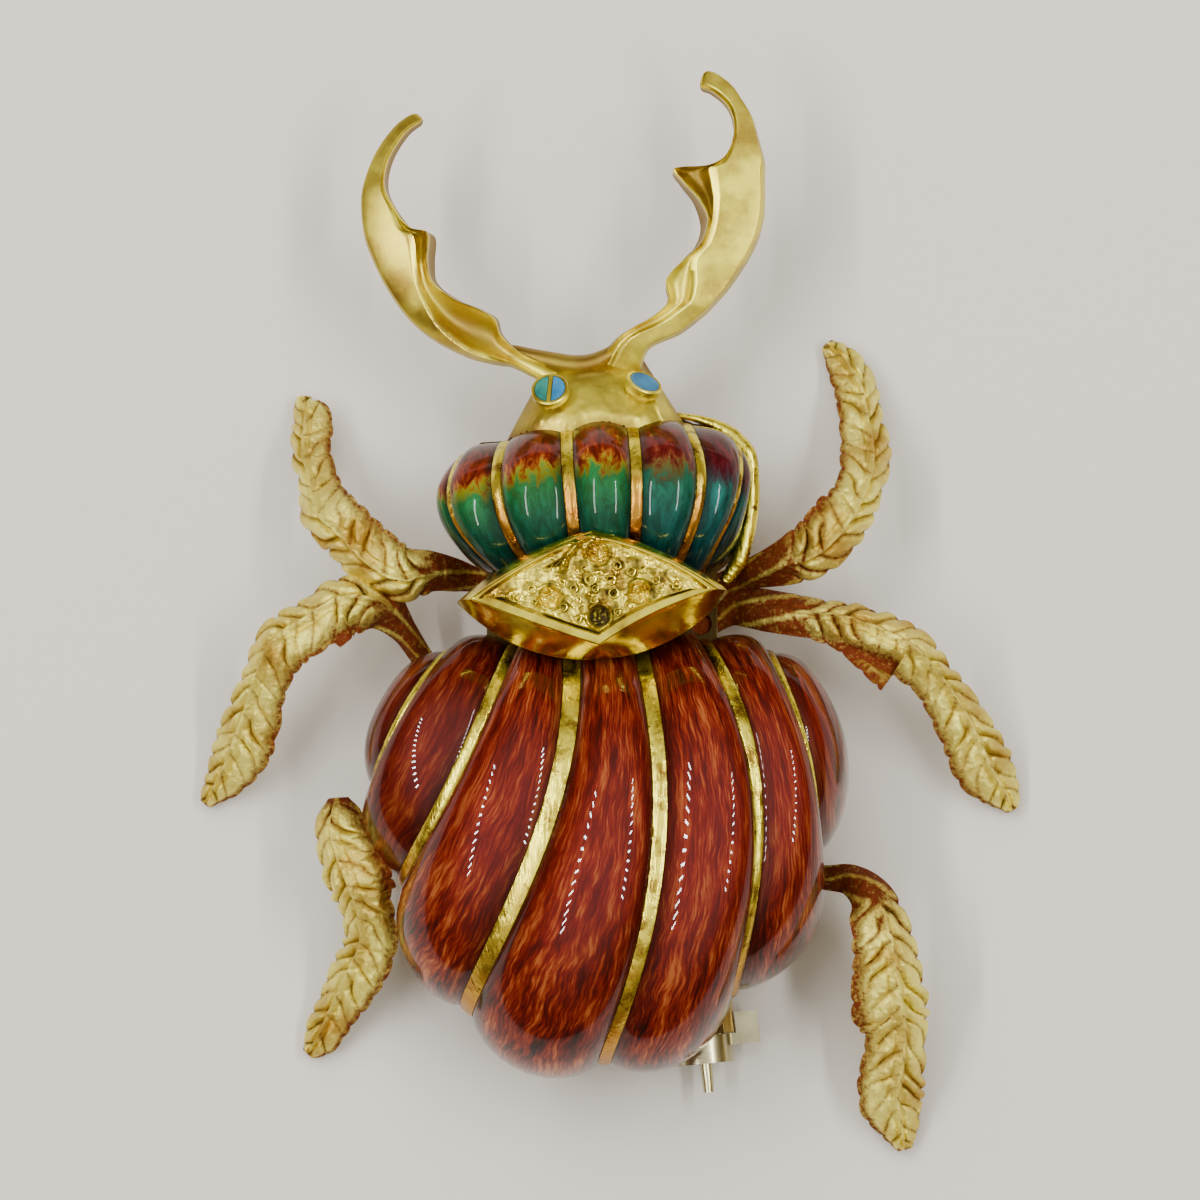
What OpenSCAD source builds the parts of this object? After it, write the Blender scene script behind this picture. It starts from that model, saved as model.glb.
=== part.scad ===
// Stag-beetle brooch: gold castings and two enamelled shells on a flat gold back, with a pin and a catch.
// Millimetres. The origin is on the table under the middle of the insect, which lies on its six feet.
// +X is to the right and +Y towards the mandibles, seen from above, and +Z is up.

/* [Abdomen] */
// Width of the abdomen between its outermost ribs
abdomen_w = 20; // [18.5:0.25:21]
// Length of the abdomen from its front edge to the end of its longest rib
abdomen_l = 18.2; // [17:0.2:20]
// Height of the abdomen's dome above the back plate
abdomen_h = 6.3; // [5.6:0.1:7]
// How far a lobe swells out between its ribs, as a share of its width
abdomen_swell = 0.16; // [0.1:0.01:0.2]
// Width of the ribs between the abdomen's lobes
abdomen_rib_w = 0.42; // [0.3:0.02:0.6]

/* [Thorax] */
// Width of the thorax between its outer edges
thorax_w = 13.2; // [12.4:0.2:14]
// Length of the thorax from its front edge to its hidden back edge
thorax_l = 7.1; // [6.6:0.1:7.4]
// Height of the thorax's dome above the back plate
thorax_h = 5.1; // [4.6:0.1:5.6]
// How far a lobe of the thorax swells out, as a share of its width
thorax_swell = 0.15; // [0.1:0.01:0.2]
// Width of the ribs between the thorax's lobes
thorax_rib_w = 0.38; // [0.3:0.02:0.5]

/* [Enamel] */
// Thickness of the enamel in its cells
enamel_t = 0.5; // [0.4:0.05:0.7]
// Wall of the gold shells under the enamel
shell_t = 0.6; // [0.5:0.05:0.8]
// Gap left between the enamel and its cell
enamel_gap = 0.03; // [0.02:0.01:0.05]

/* [Scutellum] */
// Width of the pointed plate between thorax and abdomen
scutellum_w = 10.7; // [9.8:0.1:11]
// Length of the pointed plate
scutellum_l = 4.8; // [4.4:0.1:5]
// Depth of the skirt below the plate, at its back corner
skirt_h = 1.6; // [1.2:0.1:1.8]
// Radius of the four empty stone seats
seat_r = 0.48; // [0.4:0.02:0.56]
// Depth of the empty stone seats
seat_depth = 0.28; // [0.2:0.02:0.36]
// Radius of the post that carries the plate
post_r = 0.55; // [0.45:0.05:0.6]

/* [Head] */
// Width of the head where it meets the thorax
head_w = 8.7; // [8:0.1:9.4]
// Length of the head in front of the thorax
head_l = 2.5; // [2.2:0.1:3]
// Height of the head's crown above the back plate
head_h = 2.5; // [2.2:0.1:2.8]
// Length that both mandibles' outlines are drawn to
mandible_l = 12.5; // [11.5:0.25:14]
// Depth of a mandible at its thickest
mandible_t = 2.2; // [1.8:0.1:2.6]

/* [Eyes] */
// Outer radius of an eye collet at its rim
collet_r = 0.82; // [0.76:0.02:0.9]
// Height of an eye collet along its axis
collet_h = 1.15; // [1:0.05:1.3]
// Wall of the collet round the stone
collet_wall = 0.14; // [0.1:0.02:0.18]
// Thickness of an eye's stone
eye_t = 0.4; // [0.3:0.05:0.5]
// Gap round a stone in its collet
stone_gap = 0.03; // [0.02:0.01:0.05]

/* [Legs] */
// Length that the front left leg's outline is drawn to
front_left_leg_l = 12; // [11:0.25:13]
// Length that the middle left leg's outline is drawn to
mid_left_leg_l = 12; // [11:0.25:13]
// Length that the hind left leg's outline is drawn to
hind_left_leg_l = 10; // [9.5:0.25:11]
// Length that the front right leg's outline is drawn to
front_right_leg_l = 12; // [11:0.25:13]
// Length that the middle right leg's outline is drawn to
mid_right_leg_l = 16; // [15:0.25:17]
// Length that the hind right leg's outline is drawn to
hind_right_leg_l = 14; // [13:0.25:15]
// Width of a leg's leaf
leg_w = 2.6; // [2.2:0.1:2.8]
// Thickness of a leg at its widest
leg_t = 1.3; // [1.1:0.05:1.4]
// Height of the underside of a leg's knee above the table
knee_h = 4; // [3.7:0.1:4.4]
// How far a leg's leaf leans outward, in degrees
leg_lean = 24; // [10:1:30]
// Depth of the notches along a leaf's edges, as a share of its width
leg_notch = 0.05; // [0:0.01:0.08]
// Radius of the pegs that hold the legs and the head in the back plate
peg_r = 0.45; // [0.35:0.05:0.5]
// Gap round a peg, and between castings that are pegged together
peg_gap = 0.03; // [0.02:0.01:0.05]

/* [Back] */
// Height of the back plate's underside above the table
plate_z = 2.9; // [2.8:0.1:3.2]
// Thickness of the back plate
plate_t = 0.8; // [0.6:0.1:1]
// How far the back plate stays inside the abdomen's edge
plate_inset = 0.6; // [0.4:0.1:0.8]
// How far the gold rim shows outside the thorax on the right
rim_show = 0.3; // [0.2:0.05:0.4]
// Gap between the back plate and the shells that sit on it
seat_gap = 0.04; // [0.02:0.01:0.08]

/* [Pin] */
// Diameter of the pin's shank
pin_d = 0.7; // [0.6:0.05:0.8]
// Diameter of the pin's blunt end
pin_tip_d = 0.44; // [0.3:0.02:0.5]
// Length of the pin from the start of the catch housing to its end
pin_past = 4.9; // [4.6:0.1:5.4]
// Length of the pin's tapered end
pin_taper_l = 3.2; // [2:0.2:4]
// Height of the pin's axis above the table
pin_z = 1.55; // [1.5:0.05:1.6]
// How far the pin leans from the long axis, in degrees
pin_slant = 5.7; // [5.2:0.1:6]
// Radius of the hinge's knuckle and ears
knuckle_r = 1.0; // [0.8:0.05:1.1]
// Width of the knuckle
knuckle_w = 1.0; // [0.8:0.1:1.2]
// Thickness of each hinge ear
ear_t = 0.7; // [0.5:0.1:0.9]
// Radius of the hinge's rivet
rivet_r = 0.38; // [0.3:0.02:0.44]
// Running gap round the rivet, and beside the knuckle
hinge_gap = 0.04; // [0.02:0.01:0.06]
// Gap between the rivet and the ears
rivet_gap = 0.01; // [0.005:0.005:0.02]

/* [Catch] */
// How far ahead of the abdomen's back end the catch housing starts
catch_tuck = 3.55; // [3.4:0.05:3.9]
// Outer radius of the catch housing
housing_r = 1.4; // [1.35:0.05:1.45]
// Length of the catch housing along the pin
housing_l = 2.4; // [2:0.1:2.8]
// Wall of the catch housing
housing_wall = 0.34; // [0.28:0.02:0.36]
// Outer radius of the roller's collar outside the housing
collar_r = 1.25; // [1.2:0.05:1.3]
// Length of the roller's collar
collar_l = 1.2; // [1:0.1:1.4]
// Length of the retaining flange at the roller's inner end
flange_l = 0.35; // [0.3:0.05:0.5]
// Radial gap between the roller and the housing
roller_gap = 0.05; // [0.03:0.01:0.08]
// Radial gap between the pin and the roller
pin_gap = 0.12; // [0.1:0.01:0.15]
// How far the thumb tab reaches past the collar
tab_reach = 1.2; // [0.8:0.05:1.3]
// Length of the thumb tab's foot along the collar
tab_l = 0.5; // [0.4:0.05:0.7]
// How far the thumb tab runs forward beside the housing
tab_forward = 0.9; // [0.6:0.05:1.1]
// Thickness of the thumb tab
tab_t = 0.45; // [0.35:0.05:0.6]

/* [Hidden] */

plate_top = plate_z + plate_t;
shell_z = plate_top + seat_gap;
// The waist between the thorax and the abdomen, how far ahead of it the thorax ends, and how far
// behind it the abdomen starts
waist_y = 0.4;
thorax_ahead = 0.5;
abdomen_behind = 1.8;
lobes = 7;
// How far cutting shapes run past the metal they cut
overrun = 1;
round_fn = 72;
fine_fn = 32;

// Small helpers: a table's column, and a smooth curve through its rows
function column(table, k) = [for (row = table) row[k]];
function at_row(values, k) = values[max(0, min(len(values) - 1, k))];
function smooth(values, u) =
    let (
        i = floor(max(0, min(u, len(values) - 1.000001))),
        f = u - i,
        a = at_row(values, i - 1),
        b = at_row(values, i),
        c = at_row(values, i + 1),
        d = at_row(values, i + 2)
    )
    b + f * ((c - a) + f * ((2 * a - 5 * b + 4 * c - d) + f * (3 * (b - c) + d - a))) / 2;
function mix(a, b, f) = a + (b - a) * f;
function unit(v) = v / norm(v);
function reversed(run) = [for (k = [len(run) - 1 : -1 : 0]) run[k]];

// Two triangles for each cell of a grid, seen clockwise when flip is 0
function grid_faces(rows, cols, first, flip) = [
    for (r = [0 : rows - 2], c = [0 : cols - 2])
        let (a = first + r * cols + c, b = a + 1, d = a + cols, e = d + 1)
        each flip == 0 ? [[a, b, e], [a, e, d]] : [[a, e, b], [a, d, e]]
];

// Triangles that join two runs of points of one length
function strip_faces(upper, lower) = [
    for (k = [0 : len(upper) - 2])
        each [[upper[k], upper[k + 1], lower[k + 1]], [upper[k], lower[k + 1], lower[k]]]
];

// Closed solid between two grids of points that have the same rows and columns.
// Rows run towards -Y and columns towards +X, and top lies above bottom.
module sheet(top, bottom) {
    rows = len(top);
    cols = len(top[0]);
    base = rows * cols;
    front = reversed([for (c = [0 : cols - 1]) c]);
    back = [for (c = [0 : cols - 1]) (rows - 1) * cols + c];
    left = [for (r = [0 : rows - 1]) r * cols];
    right = reversed([for (r = [0 : rows - 1]) r * cols + cols - 1]);
    edges = [for (run = [front, right, back, left]) strip_faces(run, [for (k = run) k + base])];
    polyhedron(
        concat([for (row = top) each row], [for (row = bottom) each row]),
        concat(
            grid_faces(rows, cols, 0, 0),
            grid_faces(rows, cols, base, 1),
            [for (run = edges) each run]));
}

// Closed solid through rings of points of one length, capped at both ends
module loft(rings) {
    n = len(rings[0]);
    last = (len(rings) - 1) * n;
    polyhedron(
        [for (ring = rings) each ring],
        concat(
            [for (k = [1 : n - 2]) [0, k, k + 1]],
            [for (r = [0 : len(rings) - 2], k = [0 : n - 1])
                let (a = r * n + k, b = r * n + (k + 1) % n)
                each [[a, a + n, b + n], [a, b + n, b]]],
            [for (k = [1 : n - 2]) [last, last + k + 1, last + k]]));
}

// A dome is drawn from a table with a row for each edge or rib, from left to right:
// front_x, front_y: where the rib starts at the front, as shares of the width and the length
// rim_x, rim_y: where it ends at the back; bow: how far it bows to the right, as a share of the width
// early: how much of the bow lies in the front half; height: the rib's rise, as a share of the height
abdomen_ribs = [
    [-0.447, 0.113, -0.452, 0.140, 0.000, 0.0, 0.10],
    [-0.330, 0.016, -0.498, 0.352, -0.008, 0.0, 0.57],
    [-0.185, 0.000, -0.435, 0.577, 0.026, 0.0, 0.77],
    [-0.060, 0.000, -0.292, 0.877, 0.072, 0.3, 0.94],
    [0.085, 0.000, 0.008, 1.000, 0.092, 0.0, 1.00],
    [0.225, -0.005, 0.290, 0.835, 0.092, 0.1, 0.92],
    [0.365, 0.022, 0.474, 0.507, 0.032, 0.0, 0.68],
    [0.457, 0.090, 0.465, 0.115, 0.000, 0.0, 0.10]
];
thorax_ribs = [
    [-0.520, 0.390, -0.510, 0.580, 0.000, 0.0, 0.25],
    [-0.448, 0.158, -0.303, 0.944, -0.095, 0.2, 0.64],
    [-0.310, 0.090, -0.180, 0.986, -0.064, 0.0, 0.88],
    [-0.105, -0.007, -0.053, 1.010, 0.000, 0.0, 1.00],
    [0.105, -0.025, 0.098, 1.010, 0.036, 0.0, 1.00],
    [0.282, -0.007, 0.227, 0.986, 0.083, 0.2, 0.88],
    [0.452, 0.115, 0.333, 0.915, 0.055, 0.3, 0.64],
    [0.473, 0.350, 0.463, 0.580, 0.000, 0.0, 0.25]
];
abdomen_front_y = waist_y - abdomen_behind;
thorax_front_y = waist_y + thorax_ahead + thorax_l;
dome_fullness = 0.9;
swell_power = 0.8;
narrow_cell = 0.4;

// What both domes are drawn from: table, width, length, height, front, swell, rib width, middle
abdomen_middle = 0.52;
thorax_middle = 0.5;
abdomen = [abdomen_ribs, abdomen_w, abdomen_l, abdomen_h, abdomen_front_y, abdomen_swell, abdomen_rib_w,
    abdomen_middle];
thorax = [thorax_ribs, thorax_w, thorax_l, thorax_h, thorax_front_y, thorax_swell, thorax_rib_w,
    thorax_middle];
function dome_centre(dome) = [0, dome[4] - dome[7] * dome[2], 0];

// Point on the plain dome, u ribs from the left and a turn t from the front
function rib_point(dome, u, t) =
    let (
        table = dome[0],
        front = [smooth(column(table, 0), u) * dome[1], dome[4] - smooth(column(table, 1), u) * dome[2]],
        rim = [smooth(column(table, 2), u) * dome[1], dome[4] - smooth(column(table, 3), u) * dome[2]],
        s = (1 - cos(180 * t)) / 2,
        chord = rim - front,
        side = [-chord[1], chord[0]] / norm(chord),
        bow = smooth(column(table, 4), u) * dome[1] * 4 * s * (1 - s)
            * (1 + smooth(column(table, 5), u) * (1 - 2 * s)),
        plan = front + chord * s + side * bow,
        rise = smooth(column(table, 6), u) * dome[3] * pow(max(0, sin(180 * t)), dome_fullness)
    )
    [plan[0], plan[1], rise];

// Point f of the way across a lobe, edge away from its rib lines, sunk by depth
function lobe_point(dome, lobe, f, edge, t, depth) =
    let (
        centre = dome_centre(dome),
        span = norm(rib_point(dome, lobe + 1, t) - rib_point(dome, lobe, t)),
        v = min(narrow_cell, edge / span),
        plain = rib_point(dome, lobe + v + (1 - 2 * v) * f, t),
        lift = dome[5] * span * pow(max(0, sin(180 * f)), swell_power) - depth,
        arm = plain - centre
    )
    centre + arm * (1 + lift / norm(arm));

// Outline of a dome on its base, in half lobes, moved in by inset
function dome_edge(dome, t, inset) = [
    for (k = [0 : 2 * lobes])
        let (
            lobe = min(lobes - 1, floor(k / 2)),
            p = lobe_point(dome, lobe, k / 2 - lobe, 0, t, inset)
        )
        [p[0], p[1]]
];
function dome_outline(dome, inset) = concat(dome_edge(dome, 0, inset), reversed(dome_edge(dome, 1, inset)));

// Hollow gold dome with a raised rib beside each cell
module dome_shell(dome, steps, across) {
    floor_depth = enamel_t + enamel_gap;
    edge = dome[6] / 2;
    top = [for (k = [0 : steps]) let (t = k / steps) concat(
        [rib_point(dome, 0, t)],
        [for (lobe = [0 : lobes - 1]) each concat(
            [lobe_point(dome, lobe, 0, edge, t, 0)],
            [for (c = [0 : across]) lobe_point(dome, lobe, c / across, edge, t, floor_depth)],
            [lobe_point(dome, lobe, 1, edge, t, 0)])],
        [rib_point(dome, lobes, t)])];
    deep = floor_depth + shell_t;
    bottom = [for (k = [0 : steps]) let (t = k / steps) concat(
        [lobe_point(dome, 0, 0, 0, t, deep)],
        [for (lobe = [0 : lobes - 1]) each concat(
            [lobe_point(dome, lobe, 0, edge / 2, t, deep)],
            [for (c = [0 : across]) lobe_point(dome, lobe, c / across, edge, t, deep)],
            [lobe_point(dome, lobe, 1, edge / 2, t, deep)])],
        [lobe_point(dome, lobes - 1, 1, 0, t, deep)])];
    translate([0, 0, shell_z]) sheet(top, bottom);
}

// Enamel that fills one cell of a dome
module dome_enamel(dome, lobe, steps, across) {
    edge = dome[6] / 2 + enamel_gap;
    skins = [for (depth = [0, enamel_t]) [for (k = [0 : steps])
        [for (c = [0 : across]) lobe_point(dome, lobe, c / across, edge, k / steps, depth)]]];
    translate([0, 0, shell_z]) sheet(skins[0], skins[1]);
}

abdomen_steps = 14;
abdomen_across = 4;
thorax_steps = 10;
thorax_across = 3;

module abdomen_shell() {
    color("gold") dome_shell(abdomen, abdomen_steps, abdomen_across);
}

module abdomen_enamel(lobe) {
    color("firebrick") dome_enamel(abdomen, lobe, abdomen_steps, abdomen_across);
}

module thorax_shell() {
    color("gold") dome_shell(thorax, thorax_steps, thorax_across);
}

module thorax_enamel(lobe) {
    color("teal") dome_enamel(thorax, lobe, thorax_steps, thorax_across);
}

// Scutellum: corners from the left round by the front apex, as shares of its width and length;
// skirt: how deep the skirt hangs there, as a share of its depth; flare: how far out its foot stands
scutellum_corners = [
    [-0.500, -0.08, 0.85, 0.60],
    [-0.008, 0.50, 0.28, 0.10],
    [0.500, 0.00, 0.80, 0.35],
    [0.023, -0.50, 1.00, 0.45]
];
// How far each edge bows outward at the top and at the foot of the skirt, as a share of the length
scutellum_bows = [[0.05, 0.07], [0.07, 0.07], [-0.05, 0.13], [0.01, 0.14]];
scutellum_y = waist_y + 0.11;
scutellum_z = shell_z + thorax_h + 0.55;
scutellum_edge_points = 6;
field_drop = 0.16;
core_r = 0.3;
// Rings of the plate from the core of its sunk field over the rim and down to its underside:
// foot: 0 at the top and 1 at the foot of the skirt; inset: in from the edge, as far as the core;
// drop: down from the rim
scutellum_rings = [
    [0, scutellum_w, field_drop],
    [0, 0.62, field_drop],
    [0, 0.30, 0.00],
    [0, 0.00, 0.03],
    [1, 0.00, 0.00],
    [1, 0.35, 0.00],
    [0, scutellum_w, 0.90]
];

function scutellum_ring(foot, inset, drop) = [
    for (k = [0 : 3], j = [0 : scutellum_edge_points - 1])
        let (
            f = j / scutellum_edge_points,
            a = scutellum_corners[k],
            b = scutellum_corners[(k + 1) % 4],
            start = [a[0] * scutellum_w, a[1] * scutellum_l],
            end = [b[0] * scutellum_w, b[1] * scutellum_l],
            along = unit(end - start),
            out = [-along[1], along[0]],
            bow = scutellum_bows[k][foot] * scutellum_l * 4 * f * (1 - f),
            plan = mix(start, end, f) + out * bow,
            reach = norm(plan),
            scale = max(core_r, reach + foot * mix(a[3], b[3], f) - inset) / reach
        )
        [plan[0] * scale, plan[1] * scale, -drop - foot * skirt_h * mix(a[2], b[2], f)]
];

// Radial places of the four empty seats: x and y as shares of the plate's width and length
scutellum_seats = [[0.015, 0.33], [-0.175, -0.065], [0.180, -0.030], [0.022, -0.235]];
post_y = scutellum_y - 0.85;
post_top_z = scutellum_z - 0.8;

module scutellum() {
    color("gold") union() {
        translate([0, scutellum_y, scutellum_z]) difference() {
            loft([for (row = scutellum_rings) scutellum_ring(row[0], row[1], row[2])]);
            for (seat = scutellum_seats)
                translate([seat[0] * scutellum_w, seat[1] * scutellum_l, -field_drop - seat_depth])
                    cylinder(h = seat_depth + overrun, r = seat_r, $fn = fine_fn);
        }
        translate([0, post_y, shell_z])
            cylinder(h = post_top_z - shell_z, r = post_r, $fn = fine_fn);
        translate([0, post_y, plate_z])
            cylinder(h = shell_z - plate_z + post_r, r = peg_r, $fn = fine_fn);
    }
}

// Head: a grid from its back edge, which nests round the thorax, to its front edge
head_back_y = thorax_front_y + 0.55;
head_tuck = 0.8;
head_gap = 0.12;
head_nest = 0.85;
head_front_w = 4.1;
head_brow = 0.2;
head_side_h = 0.5;
head_front_h = 1.7;
head_steps = 8;
head_rows = 7;
head_fullness = 0.6;
head_peg_y = head_back_y + 0.9;

function head_plan(a, b) = [
    a * mix(head_w, head_front_w, b) / 2 - head_brow * b,
    mix(head_back_y - head_tuck - head_nest * a * a, head_back_y + head_l - head_brow * a * a, b)
];
function head_rise(a, b) =
    mix(head_side_h, mix(head_h, head_front_h, b * b), pow(max(0, 1 - abs(a * a * a)), head_fullness));
function head_grid(bottom) = [
    for (r = [head_rows : -1 : 0]) [
        for (c = [-head_steps : head_steps])
            let (a = c / head_steps, b = r / head_rows, plan = head_plan(a, b))
            [plan[0], plan[1], shell_z + (bottom ? 0 : head_rise(a, b))]
    ]
];

// Mandibles: outer and inner edge at each station, as shares of the mandible's length from its root,
// ridge: how far across the ridge lies, from the outer edge; depth: as a share of the thickness
right_mandible_rows = [
    [0.060, -0.050, -0.120, -0.020, 0.60, 0.70],
    [0.087, 0.049, -0.026, 0.093, 0.62, 0.74],
    [0.201, 0.104, 0.087, 0.162, 0.66, 0.82],
    [0.287, 0.169, 0.132, 0.193, 0.62, 0.90],
    [0.315, 0.197, 0.153, 0.221, 0.66, 0.92],
    [0.363, 0.249, 0.150, 0.285, 0.66, 0.95],
    [0.408, 0.311, 0.205, 0.360, 0.62, 0.98],
    [0.460, 0.400, 0.250, 0.410, 0.62, 1.00],
    [0.487, 0.486, 0.268, 0.475, 0.64, 1.00],
    [0.494, 0.562, 0.245, 0.555, 0.64, 0.98],
    [0.494, 0.614, 0.200, 0.617, 0.58, 0.94],
    [0.494, 0.655, 0.177, 0.666, 0.52, 0.90],
    [0.494, 0.697, 0.294, 0.676, 0.74, 0.88],
    [0.480, 0.755, 0.363, 0.721, 0.78, 0.82],
    [0.453, 0.849, 0.384, 0.804, 0.74, 0.70],
    [0.418, 0.911, 0.363, 0.883, 0.70, 0.60],
    [0.374, 0.973, 0.305, 0.938, 0.66, 0.50],
    [0.287, 1.038, 0.260, 0.952, 0.60, 0.36]
];
left_mandible_rows = [
    [0.010, -0.070, 0.060, -0.010, 0.60, 0.66],
    [-0.131, 0.002, -0.097, 0.051, 0.60, 0.70],
    [-0.186, 0.013, -0.176, 0.120, 0.60, 0.80],
    [-0.238, 0.023, -0.197, 0.178, 0.58, 0.88],
    [-0.307, 0.044, -0.255, 0.213, 0.68, 0.92],
    [-0.414, 0.099, -0.335, 0.247, 0.74, 0.98],
    [-0.507, 0.178, -0.404, 0.302, 0.72, 1.00],
    [-0.586, 0.292, -0.414, 0.371, 0.66, 1.00],
    [-0.638, 0.402, -0.414, 0.465, 0.62, 0.98],
    [-0.659, 0.471, -0.483, 0.485, 0.70, 0.95],
    [-0.669, 0.558, -0.542, 0.554, 0.74, 0.88],
    [-0.662, 0.637, -0.576, 0.633, 0.74, 0.80],
    [-0.621, 0.751, -0.562, 0.727, 0.70, 0.68],
    [-0.552, 0.851, -0.507, 0.820, 0.64, 0.54],
    [-0.480, 0.906, -0.448, 0.865, 0.58, 0.38]
];
mandible_z = shell_z + 0.35;
mandible_lift = 0.5;
// Section of a mandible: across from the outer edge as a share of its width, and up as a share of its depth
mandible_section = [[0, 0.25], [0.3, 0], [0.75, 0], [1, 0.22]];
ridge_w = 0.07;
ridge_up = 0.97;
right_mandible_root = [1.0, head_back_y + head_l - 0.45];
left_mandible_root = [-2.0, head_back_y + head_l - 0.65];

module mandible(rows, root) {
    count = len(rows) - 1;
    loft([for (k = [0 : count])
        let (
            row = rows[k],
            outer = root + [row[0], row[1]] * mandible_l,
            inner = root + [row[2], row[3]] * mandible_l,
            z = mandible_z + mandible_lift * sin(90 * k / count)
        )
        [for (p = concat(mandible_section, [[row[4] + ridge_w, ridge_up], [row[4], 1]]))
            let (plan = mix(outer, inner, p[0]))
            [plan[0], plan[1], z + p[1] * mandible_t * row[5]]]
    ]);
}

// Eyes: foot of each collet, its lean towards +Y and +X in degrees
left_eye_place = [-1.95, head_back_y + 0.25];
right_eye_place = [1.55, head_back_y + 0.3];
left_eye_lean = [30, -6];
right_eye_lean = [48, 36];
left_eye_foot_z = shell_z + 2.0;
right_eye_foot_z = shell_z + 1.75;
eye_bar_w = 0.16;
collet_waist = 0.62;
collet_root = 0.5;
stone_r = collet_r - collet_wall - stone_gap;
stone_floor = collet_h - eye_t;
seat_floor = stone_floor - stone_gap;

module left_eye_frame() {
    translate([left_eye_place[0], left_eye_place[1], left_eye_foot_z])
        rotate([-left_eye_lean[0], left_eye_lean[1], 0]) children();
}

module right_eye_frame() {
    translate([right_eye_place[0], right_eye_place[1], right_eye_foot_z])
        rotate([-right_eye_lean[0], right_eye_lean[1], 0]) children();
}

module collet() {
    rotate_extrude($fn = round_fn) polygon([
        [0, -collet_root],
        [collet_r * collet_waist, -collet_root],
        [collet_r * collet_waist, collet_h / 3],
        [collet_r, collet_h * collet_waist],
        [collet_r, collet_h],
        [0, collet_h]
    ]);
}

// What a stone's seat cuts out of the collet and the head
module eye_seat() {
    translate([0, 0, seat_floor])
        cylinder(h = eye_t + stone_gap + overrun, r = collet_r - collet_wall, $fn = round_fn);
}

module eye_stone() {
    translate([0, 0, stone_floor]) cylinder(h = eye_t, r = stone_r, $fn = round_fn);
}

module eye_bar() {
    translate([-eye_bar_w / 2, collet_wall / 2 - collet_r, seat_floor - stone_gap])
        cube([eye_bar_w, 2 * collet_r - collet_wall, collet_h - seat_floor + stone_gap]);
}

module head() {
    color("goldenrod") union() {
        difference() {
            union() {
                sheet(head_grid(false), head_grid(true));
                mandible(right_mandible_rows, right_mandible_root);
                mirror([1, 0, 0]) mandible([for (row = left_mandible_rows)
                    [-row[0], row[1], -row[2], row[3], row[4], row[5]]],
                    [-left_mandible_root[0], left_mandible_root[1]]);
                left_eye_frame() collet();
                right_eye_frame() collet();
            }
            left_eye_frame() eye_seat();
            right_eye_frame() eye_seat();
            translate([0, 0, plate_z]) linear_extrude(2 * thorax_h) polygon(dome_outline(thorax, -head_gap));
        }
        left_eye_frame() eye_bar();
        translate([0, head_peg_y, plate_z]) cylinder(h = plate_t + peg_r, r = peg_r, $fn = fine_fn);
    }
}

// Half of the left eye's stone, on one side of the gold bar
module half_stone(side) {
    bar_edge = eye_bar_w / 2 + stone_gap;
    intersection() {
        eye_stone();
        translate([side > 0 ? bar_edge : -collet_r, -collet_r, 0])
            cube([collet_r - (side > 0 ? 0 : bar_edge), 2 * collet_r, collet_h]);
    }
}

module left_eye_green() {
    color("mediumseagreen") left_eye_frame() half_stone(-1);
}

module left_eye_blue() {
    color("steelblue") left_eye_frame() half_stone(1);
}

module right_eye() {
    color("steelblue") right_eye_frame() eye_stone();
}

// Legs: a row for each section from the root to the foot. x and y are shares of the leg's length,
// under: height of the underside as a share of the knee's; width: as a share of the leaf's width;
// lean: as a share of the full lean
front_left_rows = [
    [0.00, 0.00, 0.40, 0.35, 0.0],
    [-0.06, 0.03, 0.40, 0.38, 0.0],
    [-0.11, 0.04, 0.44, 0.42, 0.1],
    [-0.17, 0.05, 0.64, 0.55, 0.4],
    [-0.26, 0.06, 0.85, 0.70, 0.8],
    [-0.36, 0.045, 0.96, 0.92, 1.0],
    [-0.46, 0.10, 1.00, 1.00, 1.0],
    [-0.56, 0.20, 1.00, 0.97, 1.0],
    [-0.64, 0.28, 0.90, 0.96, 1.0],
    [-0.68, 0.39, 0.62, 0.72, 1.0],
    [-0.72, 0.52, 0.34, 0.70, 1.0],
    [-0.72, 0.63, 0.14, 0.70, 0.8],
    [-0.75, 0.70, 0.03, 0.42, 0.4],
    [-0.75, 0.73, 0.00, 0.18, 0.0]
];
mid_left_rows = [
    [0.00, 0.00, 0.40, 0.35, 0.0],
    [-0.07, 0.05, 0.40, 0.36, 0.0],
    [-0.13, 0.11, 0.44, 0.38, 0.0],
    [-0.19, 0.20, 0.62, 0.46, 0.3],
    [-0.27, 0.28, 0.88, 0.82, 0.7],
    [-0.39, 0.29, 0.98, 0.96, 0.8],
    [-0.50, 0.22, 1.02, 0.95, 1.0],
    [-0.62, 0.14, 1.00, 1.00, 1.0],
    [-0.69, 0.02, 0.78, 0.85, 1.0],
    [-0.74, -0.10, 0.48, 1.00, 1.0],
    [-0.79, -0.21, 0.26, 1.05, 0.9],
    [-0.85, -0.31, 0.10, 0.78, 0.6],
    [-0.91, -0.38, 0.02, 0.42, 0.2],
    [-0.94, -0.42, 0.00, 0.20, 0.0]
];
hind_left_rows = [
    [-0.40, 0.25, 0.86, 0.35, 0.6],
    [-0.395, 0.18, 0.92, 0.74, 0.8],
    [-0.385, 0.08, 0.98, 0.92, 1.0],
    [-0.35, -0.02, 1.00, 1.04, 1.0],
    [-0.31, -0.12, 0.98, 1.08, 1.0],
    [-0.28, -0.23, 0.84, 0.92, 1.0],
    [-0.275, -0.38, 0.58, 0.94, 1.0],
    [-0.35, -0.53, 0.36, 0.94, 0.9],
    [-0.44, -0.67, 0.14, 0.72, 0.6],
    [-0.51, -0.79, 0.03, 0.60, 0.3],
    [-0.57, -0.86, 0.00, 0.22, 0.0]
];
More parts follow.
